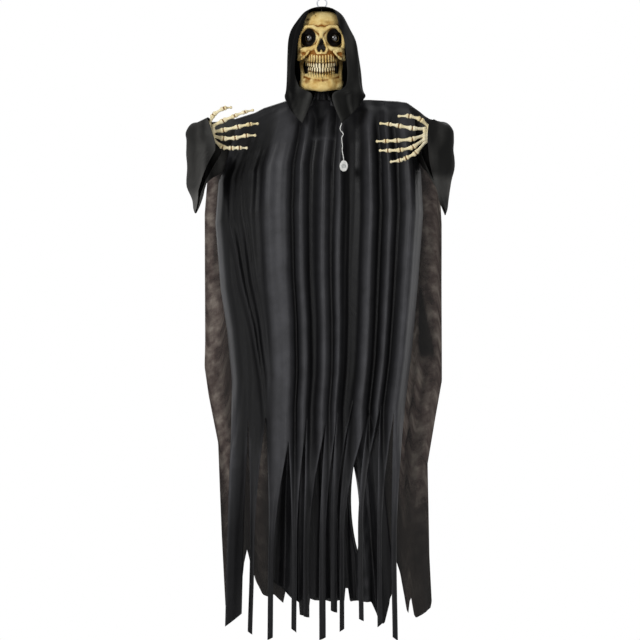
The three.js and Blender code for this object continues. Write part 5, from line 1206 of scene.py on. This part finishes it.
# Brown patches on the skull: where, from its middle and down, their widths and strength.
SKULL_STAINS = (
    (0, -95, 5, 9, 0.9), (-40, -72, 10, 7, 0.7), (57, -170, 10, 12, 1.0), (-60, -164, 11, 11, 1.0),
    (28, -176, 15, 12, 0.8), (-34, -168, 15, 10, 0.8), (14, -140, 4, 16, 0.6), (-14, -140, 4, 16, 0.6),
    (18, -80, 14, 5, 0.5), (50, -90, 7, 11, 0.7), (0, -179, 26, 5, 0.5),
)
JAW_STAINS = (
    (-42, -249, 15, 11, 0.6), (0, -248, 3, 10, 0.4), (-4, -268, 3, 9, 0.45), (46, -250, 10, 12, 0.4),
)
# Widths of the teeth from the middle outwards, and the gap between them.
UPPER_WIDTHS = [9.6, 8.2, 8.6, 8, 8, 8.6]
LOWER_WIDTHS = [7.4, 7.6, 8.2, 8, 8.2, 8.8]
TOOTH_GAP = 0.35


class REAPER_OT_skull(bpy.types.Operator):
    """Skull, jaw and teeth"""

    bl_idname = "reaper.skull"
    bl_label = "Skull"

    def execute(self, context):
        self.skull()
        self.eye("left")
        self.eye("right")
        self.jaw()
        self.teeth("upper_teeth_row", "frame", "upper_teeth", -208.5, 1, -0.5)
        self.teeth("lower_teeth_row", "jaw", "lower_teeth", -224, -1, -1)
        return {"FINISHED"}

    def skull(self):
        """Both halves of the skull as one shell, with its sockets, nose, tooth roots and paint."""
        middle = SKULL_MIDDLE
        clay = Clay((-82, -112, -240), (78, 90, -28), 1.5)
        both = {"side": middle}
        # Cranium, forehead and its two bosses, upper face and hollow temples.
        clay.add(clay.ball((0, 0, -120), (69, 84, 84), **both))
        clay.add(clay.ball((0, -38, -92), (50, 46, 48), **both), 12)
        clay.add(clay.ball((26, -34, -86), (34, 38, 41), **both), 12)
        clay.add(clay.ball((0, -46, -168), (42, 47, 40), **both), 14)
        clay.cut(clay.ball((92, -52, -128), (30, 38, 44), **both), 10)
        # Brows, outer and lower rims of the sockets, cheek bones and the edge under each.
        clay.add(clay.path([(8, -92, -106), (24, -93, -97), (44, -84, -96), (62, -62, -112)],
                           [5.5, 6, 5.5, 4.5], **both), 12)
        clay.add(clay.path([(62, -60, -112), (64, -56, -140), (60, -58, -165)], [5, 5, 8], **both), 6)
        clay.add(clay.path([(10, -88, -150), (30, -84, -158), (54, -66, -160)], [5, 6, 8], **both), 8)
        clay.add(clay.path([(44, -72, -164), (60, -56, -178), (64, -38, -180), (67, -4, -168)],
                           [9, 10, 7, 5], **both), 6)
        clay.add(clay.path([(66, -56, -184), (56, -68, -185), (45, -77, -175), (36, -82, -166)],
                           [4.5, 4, 3.6, 3], **both), 1.6)
        clay.cut(clay.ball((54, -80, -172), (9, 9, 6), **both), 4)
        # Bridge of the nose, upper jaw and sockets.
        clay.add(clay.rod((0, -90, -104), (0, -101, -127), 8, 5, **both), 7)
        clay.add(clay.ball((0, -54, -188), (41, 45, 24), **both), 8)
        clay.cut(clay.ball((37, -92, -124.5), (20.5, 30, 25), **both), 4)
        # The right socket is the wider one.
        clay.cut(clay.ball((32, -92, -125.5), (20, 30, 25.5)), 4)
        clay.cut(clay.ball((62, -66, -204), (22, 30, 15), **both), 5)
        # Rim of the nose, its opening and its spine.
        clay.add(clay.path([(5, -99, -128), (12, -95, -146), (16.5, -91, -162), (11, -93, -173),
                            (0, -97, -172)], [2.5, 3, 3.2, 3, 3], **both), 3)
        clay.cut(clay.rod((0, -100, -129), (4.8, -98, -158), 2.4, 8.6, **both), 2)
        clay.add(clay.path([(0, -97, -171), (0, -92, -163)], [3.2, 2], **both), 2)
        # Roots of the upper teeth.
        for n in range(6):
            angle = math.radians(6.5 + 13.2 * n)
            a = (39.5 * math.sin(angle), -54 - 49 * math.cos(angle))
            rise = GRIN * a[0] ** 2
            clay.add(clay.rod((a[0] * 0.96, a[1] + 3, -181 + rise), (a[0], a[1], -201 + rise), 2.1, 3.2,
                              **both), 1.8)
        # Hollow inside, way down for the neck, and the mouth's edge.
        clay.cut(clay.ball((0, 14, -114), (60, 60, 72), **both), 2)
        clay.cut(clay.rod((0, 22, -160), (0, 22, -236), 26), 4)
        rise = GRIN * np.minimum((clay.x - middle) ** 2, 1500) * (clay.y < -50)
        clay.cut(clay.z + 202.5 - rise, 0)
        # Black wall behind the teeth, so that nothing of the works shows through the mouth; its black is
        # the mouth's painted shade.
        wall = np.maximum(np.abs(clay.y + 75 - 0.014 * (clay.x - middle) ** 2) - 1.5,
                          np.abs(clay.x - middle) - 46)
        clay.add(np.maximum(wall, np.abs(clay.z + 206 - rise) - 27), 1)
        # Joint line between the face and the back.
        clay.cut(np.abs(clay.y - 6) + 0 * clay.x + 0 * clay.z - 0.8
                 + 0.5 * np.maximum(-clay.field - 2, 0), 0)
        points, quads, hollow = clay.surface(3)
        x, y, z = points.T
        s = np.abs(x - middle)
        # Black: the sockets and the nose; under the cheek bones and inside the mouth the black is painted
        # shade.
        socket = np.sqrt(((s - 37) / 22.5) ** 2 + ((z + 124.5) / 27) ** 2)
        nose = np.minimum(np.sqrt(((s - 5.5) / 8) ** 2 + ((z + 157) / 13.5) ** 2), 9)
        nose = np.minimum(nose, np.sqrt((s / 8) ** 2 + ((z + 147) / 21) ** 2))
        rim = -92 + 0.008 * s ** 2
        dark = (1 - ease(socket, 0.9, 1.04)) * ease(y, rim - 6, rim) * (y < 0)
        dark = np.maximum(dark, (1 - ease(nose, 0.8, 1.05)) * ease(y, -97, -92) * (y < -50))
        dark = np.maximum(dark, ease(-z, 186, 196) * ease(s, 38, 50) * ease(y, -80, -60))
        rise = GRIN * np.minimum(s ** 2, 1500) * (y < -50)
        dark = np.maximum(dark, ease(rise - z, 199, 203) * ease(y, -88, -78))
        wash = np.clip(hollow * 1.9 - 0.1, -1, 1.2)
        for cx, cz, rx, rz, depth in SKULL_STAINS:
            wash += depth * np.exp(-((x - middle - cx) / rx) ** 2 - ((z - cz) / rz) ** 2) * (y < 0)
        # Crack and blotch on the forehead, and dark gums between the roots.
        crack = np.exp(-((x + 21 + 2.5 * np.sin(z / 3)) / 1.0) ** 2)
        crack = crack * ease(z, -66, -60) * (1 - ease(z, -50, -46))
        dark = np.maximum(dark, crack * (y < 0))
        blotch = 0.8 * np.exp(-((x + 41) / 5) ** 2 - ((z + 71) / 4) ** 2) * (y < 0)
        between = np.abs(np.sin((s - 0.5) * math.pi / 7.6)) ** 0.5
        gums = ease(rise - z, 183, 189) * (1 - between) * (y < -60) * 1.1
        dark = np.maximum(np.maximum(dark, blotch), gums)
        skull = link_mesh("skull_shell", points * MM, quads, materials=[finish("skull")],
                          marks={"wash": wash, "dark": dark})
        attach(skull, "frame")
        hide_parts("skull_face", "skull_back")

    def eye(self, word):
        """Domed eye, round in front and flat behind."""
        low, high = (np.array(corner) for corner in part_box("eye_lens_" + word))
        centre, reach = (low + high) / 2, (high - low) / 2
        turns = np.linspace(0, 2 * math.pi, 33)[:-1]
        points, faces = [(centre[0], low[1], centre[2])], []
        for rise in np.linspace(0, math.pi / 2, 13)[1:]:
            for turn in turns:
                points.append((centre[0] + reach[0] * math.sin(rise) * math.cos(turn),
                               high[1] - 2 * reach[1] * math.cos(rise),
                               centre[2] + reach[2] * math.sin(rise) * math.sin(turn)))
        count = len(turns)
        for k in range(count):
            faces.append((0, 1 + k, 1 + (k + 1) % count))
        for row in range(11):
            for k in range(count):
                a, b = 1 + row * count + k, 1 + row * count + (k + 1) % count
                faces.append((a, a + count, b + count, b))
        faces.append(tuple(range(1 + 11 * count, 1 + 12 * count))[::-1])
        dome = link_mesh("eye_dome_" + word, points, faces, materials=[finish("lens")])
        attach(dome, "frame")
        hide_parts("eye_lens_" + word)

    def jaw(self):
        """Lower jaw with its chin, branches, tooth roots and paint."""
        middle = SKULL_MIDDLE
        clay = Clay((-76, -112, -292), (72, 44, -160), 1.5)
        both = {"side": middle}
        # Body of the jaw, chin, corners, branches up to the joints, and the ridge of the teeth.
        clay.add(clay.path([(0, -86, -263), (24, -80, -263), (43, -60, -259), (53, -34, -254),
                            (56, -10, -246)], [15, 15, 13, 11, 9], **both))
        clay.add(clay.path([(0, -84, -250), (22, -82, -250), (42, -62, -248), (53, -36, -246)],
                           [13, 12, 11, 9], **both), 6)
        clay.add(clay.ball((0, -90, -270), (26, 11, 11), **both), 8)
        clay.add(clay.path([(44, -66, -262), (51, -56, -262), (52, -46, -254)], [10, 10, 9], **both), 6)
        clay.add(clay.path([(50, -58, -258), (53, -52, -240), (55, -42, -218), (57, -24, -200),
                            (57, 2, -184), (56, 20, -178)], [10, 7.5, 5.5, 5.5, 6, 7], **both), 6)
        clay.add(clay.path([(0, -95, -242), (19, -92, -240), (33, -80, -236), (42, -62, -232),
                            (47, -40, -230)], [6.5, 6.5, 6, 5.5, 5], **both), 5)
        for n in range(6):
            angle = math.radians(6 + 13 * n)
            a = (38 * math.sin(angle), -54 - 45 * math.cos(angle))
            rise = GRIN * a[0] ** 2
            clay.add(clay.rod((a[0], a[1], -231 + rise), (a[0] * 0.97, a[1] + 1.5, -247 + rise), 3, 1.9,
                              **both), 1.8)
        clay.cut(clay.ball((0, -40, -238), (36, 40, 40), **both), 6)
        points, quads, hollow = clay.surface(3)
        x, y, z = points.T
        s = np.abs(x - middle)
        # Painted shade: black on the inner side of the jaw, behind its front; dark between the roots along
        # its top.
        inner = ease(y, -82 + 0.012 * s ** 2, -74 + 0.012 * s ** 2) * ease(z, -262, -250)
        dark = inner * (1 - ease(s, 40, 47))
        rise = GRIN * np.minimum(s ** 2, 1500)
        dark = np.maximum(dark, 1.1 * ease(z - rise, -247, -241) * (s < 42)
                          * (1 - np.abs(np.sin(s * math.pi / 7.3)) ** 0.5))
        wash = np.clip(hollow * 1.9 - 0.1, -1, 1.2)
        for cx, cz, rx, rz, depth in JAW_STAINS:
            wash += depth * np.exp(-((x - cx) / rx) ** 2 - ((z - cz) / rz) ** 2) * (y < 0)
        crack = np.exp(-((x - 2 + 1.2 * np.sin(z / 2.2)) / 0.9) ** 2)
        crack = crack * ease(z, -257, -253) * (1 - ease(z, -243, -240))
        dark = np.maximum(dark, crack * (y < -60))
        jaw = link_mesh("jaw_bone", points * MM, quads, materials=[finish("skull")],
                        marks={"wash": wash, "dark": dark})
        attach(jaw, "jaw")
        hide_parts("lower_jaw")

    def teeth(self, name, body, node, centre, down, inset):
        """A row of twelve separate teeth on the dental arch; down is 1 for the upper row."""
        widths = UPPER_WIDTHS if down > 0 else LOWER_WIDTHS
        turns = np.linspace(0, 2 * math.pi, 21)[:-1]
        levels = np.linspace(-1, 1, 15)
        points, faces, wash, dark = [], [], [], []
        for side in (-1, 1):
            run = 0.3
            for n, width in enumerate(widths):
                place = (run + width / 2) / 62
                run += width + TOOTH_GAP
                angle = math.radians(82) * place
                arch = (40.5 + inset, 51 + inset)
                at = np.array([arch[0] * math.sin(angle), -53 - arch[1] * math.cos(angle)])
                tangent = np.array([arch[0] * math.cos(angle), arch[1] * math.sin(angle)])
                tangent /= np.linalg.norm(tangent)
                normal = np.array([tangent[1], -tangent[0]])
                tall = 9.4 - 0.45 * n
                base = len(points)
                for level in levels:
                    ring = (1 - abs(level) ** 3.2) ** (1 / 3.2)
                    gum = 0.5 + 0.5 * level * down
                    wide = 0.9 * (width / 2) * ring * (0.94 - 0.3 * gum)
                    thick = 4.0 * ring * (0.82 + 0.18 * gum)
                    for a in turns:
                        c, s = math.cos(a), math.sin(a)
                        k = (abs(c) ** 3 + abs(s) ** 3) ** (-1 / 3)
                        flat = at + tangent * wide * c * k + normal * thick * s * k
                        points.append((SKULL_MIDDLE + side * flat[0], flat[1],
                                       centre + level * tall + GRIN * at[0] ** 2))
                        # Browner towards the gum and at each side; near black at each side and behind, as
                        # painted shade between and behind the teeth, and at the root end.
                        wash.append(-0.35 + 2.4 * max(gum - 0.5, 0) + 1.1 * abs(c) ** 4 + 0.05 * n)
                        dark.append(0.95 * abs(c) ** 7 + (0.6 if s < -0.5 else 0) + 1.4 * max(gum - 0.8, 0))
                count = len(turns)
                for level in range(len(levels) - 1):
                    for k in range(count):
                        a, b = base + level * count + k, base + level * count + (k + 1) % count
                        quad = (a, b, b + count, a + count)
                        faces.append(quad if side > 0 else quad[::-1])
        row = link_mesh(name, np.array(points) * MM, faces, materials=[finish("tooth")],
                        marks={"wash": np.array(wash), "dark": np.clip(dark, 0, 1)})
        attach(row, body)
        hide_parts(node)


# Finger joints from the wrist, as shares of the hand's length: inwards and up.
LEFT_FINGERS = [
    [(.1, .08), (.19, .279), (.379, .395), (.519, .415)],
    [(.14, .06), (.371, .172), (.576, .255), (.758, .329), (.913, .369)],
    [(.15, -.03), (.379, 0), (.637, .057), (.847, .108), (1, .124)],
    [(.15, -.09), (.379, -.155), (.586, -.146), (.783, -.096), (.955, -.089)],
    [(.14, -.13), (.363, -.312), (.519, -.328), (.659, -.318), (.799, -.318)],
]
RIGHT_FINGERS = [
    [(.1, .08), (.256, .214), (.45, .268), (.631, .268)],
    [(.14, .05), (.399, .06), (.625, .101), (.786, .131), (.94, .149)],
    [(.15, -.04), (.399, -.125), (.655, -.149), (.839, -.155), (1, -.155)],
    [(.15, -.09), (.387, -.262), (.601, -.31), (.804, -.315), (.946, -.31)],
    [(.14, -.13), (.339, -.363), (.503, -.446), (.607, -.482), (.762, -.5)],
]
# How far each joint stands forward (below 0) of the wrist, and how thick its bone is in mm.
FINGER_ARCH = [0, -0.045, -0.06, -0.035, 0.02]
BONE_RADII = (8.0, 7.4, 6.8, 6.0)


class REAPER_OT_hands(bpy.types.Operator):
    """Two skeleton hands"""

    bl_idname = "reaper.hands"
    bl_label = "Hands"

    def execute(self, context):
        for word, side, elbow, wrist, wrist_drop, length in ARMS:
            self.hand(word, side, wrist, wrist_drop, length)
        return {"FINISHED"}

    def hand(self, word, side, wrist, wrist_drop, length):
        """Wrist bones and five fingers of waisted bones, browner at the joints."""
        low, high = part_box("hand_" + word)
        low, high = np.array(low) / MM - 8, np.array(high) / MM + 8
        clay = Clay(low, high, 1.25)
        root = np.array([side * wrist, -WRIST_FORWARD, -wrist_drop])
        joints = []
        for finger in LEFT_FINGERS if side < 0 else RIGHT_FINGERS:
            arch = FINGER_ARCH if len(finger) == 5 else FINGER_ARCH[:3] + [0]
            spots = [root + (-side * inward * length, lift * length, up * length)
                     for (inward, up), lift in zip(finger, arch)]
            for n, (a, b) in enumerate(zip(spots, spots[1:])):
                run = b - a
                unit = run / np.linalg.norm(run)
                thick = BONE_RADII[min(n, 3)]
                a_end, b_end = a + unit * (thick * 0.75 if n else 0), b - unit * thick * 0.75
                tip = n == len(spots) - 2
                if tip:
                    b_end = b - unit * 2.6
                clay.add(clay.rod(a_end, b_end, thick, 4.4 if tip else thick * 0.92,
                                  waist=thick * 0.42), 0.8)
                if n:
                    joints.append(a)
        base = root + (-side * 0.11 * length, 0, -0.03 * length)
        clay.add(clay.ball(base, (17, 9.5, 20)), 3)
        for n in range(5):
            knob = base + (-side * 12, -5, 15 - 8 * n)
            clay.add(clay.ball(knob, (6, 5, 5)), 1.5)
        points, quads, hollow = clay.surface(2)
        wash = np.clip(hollow - 0.35, -1, 1)
        ring = np.zeros(len(points))
        for joint in joints:
            away = np.linalg.norm(points - joint, axis=1)
            ring = np.maximum(ring, np.exp(-(away / 6.4) ** 4))
        narrow = ring * ease(hollow, -0.6, 0.1)
        hand = link_mesh("hand_bones_" + word, points * MM, quads, materials=[finish("hand")],
                         marks={"wash": wash + 1.5 * ring, "dark": 0.4 * narrow})
        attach(hand, "hand_" + word)
        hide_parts("hand_" + word)


NODE_FINISHES = {
    "zinc": ["hanging_eye", "crown_washer", "neck_post", "post_nut", "cross_bar", "shoulder_bracket_left",
             "shoulder_bracket_right", "shoulder_pin_left", "shoulder_pin_right", "shoulder_yoke",
             "deck_pillar_1", "deck_pillar_2", "deck_pillar_3", "push_rod_left", "push_rod_right",
             "arm_left", "arm_right", "wrist_fork_left", "wrist_fork_right", "wrist_pin_left",
             "wrist_pin_right", "jaw_shaft", "arm_motor", "jaw_motor"],
    "abs": ["gear_deck", "case_front", "case_rear", "battery_door", "power_switch"],
    "acetal": ["crank_gear_left", "crank_gear_right", "motor_pinion", "jaw_sector", "jaw_pinion"],
    "speaker": ["speaker"],
    "board": ["circuit_board"],
    "cell": ["battery_cell_1", "battery_cell_2", "battery_cell_3"],
    "led": ["eye_led_left", "eye_led_right"],
    "grey_abs": ["lead_eyelet", "button_housing"],
    "cap_abs": ["button_cap"],
}


class REAPER_OT_works(bpy.types.Operator):
    """Finishes of the frame's own metal and plastic pieces"""

    bl_idname = "reaper.works"
    bl_label = "Works"

    def execute(self, context):
        for name, nodes in NODE_FINISHES.items():
            for node in nodes:
                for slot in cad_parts[node].material_slots:
                    slot.material = finish(name)
        return {"FINISHED"}


class REAPER_PT_sidebar(bpy.types.Panel):
    """The reaper's pieces, one button each"""

    bl_idname = "REAPER_PT_sidebar"
    bl_label = "Hanging reaper"
    bl_space_type = "VIEW_3D"
    bl_region_type = "UI"
    bl_category = "Reaper"

    def draw(self, context):
        scene = context.scene
        for group in (scene.reaper_colours, scene.reaper_cloth, scene.reaper_stage):
            for name in group.__annotations__:
                self.layout.prop(group, name)
        for operator in OPERATORS:
            self.layout.operator(operator.bl_idname)


GROUPS = (ReaperColours, ReaperCloth, ReaperStage)
OPERATORS = (
    REAPER_OT_stage, REAPER_OT_lead, REAPER_OT_robe, REAPER_OT_cape, REAPER_OT_hood, REAPER_OT_sleeves,
    REAPER_OT_skull, REAPER_OT_hands, REAPER_OT_works,
)


def register():
    for part in GROUPS + OPERATORS + (REAPER_PT_sidebar,):
        bpy.utils.register_class(part)
    bpy.types.Scene.reaper_colours = PointerProperty(type=ReaperColours)
    bpy.types.Scene.reaper_cloth = PointerProperty(type=ReaperCloth)
    bpy.types.Scene.reaper_stage = PointerProperty(type=ReaperStage)


def unregister():
    del bpy.types.Scene.reaper_colours
    del bpy.types.Scene.reaper_cloth
    del bpy.types.Scene.reaper_stage
    for part in reversed(GROUPS + OPERATORS + (REAPER_PT_sidebar,)):
        bpy.utils.unregister_class(part)


def main():
    register()
    bpy.ops.reaper.stage()
    bpy.ops.reaper.lead()
    bpy.ops.reaper.robe()
    bpy.ops.reaper.cape()
    bpy.ops.reaper.hood()
    bpy.ops.reaper.sleeves()
    bpy.ops.reaper.skull()
    bpy.ops.reaper.hands()
    bpy.ops.reaper.works()


if __name__ == "__main__":
    main()
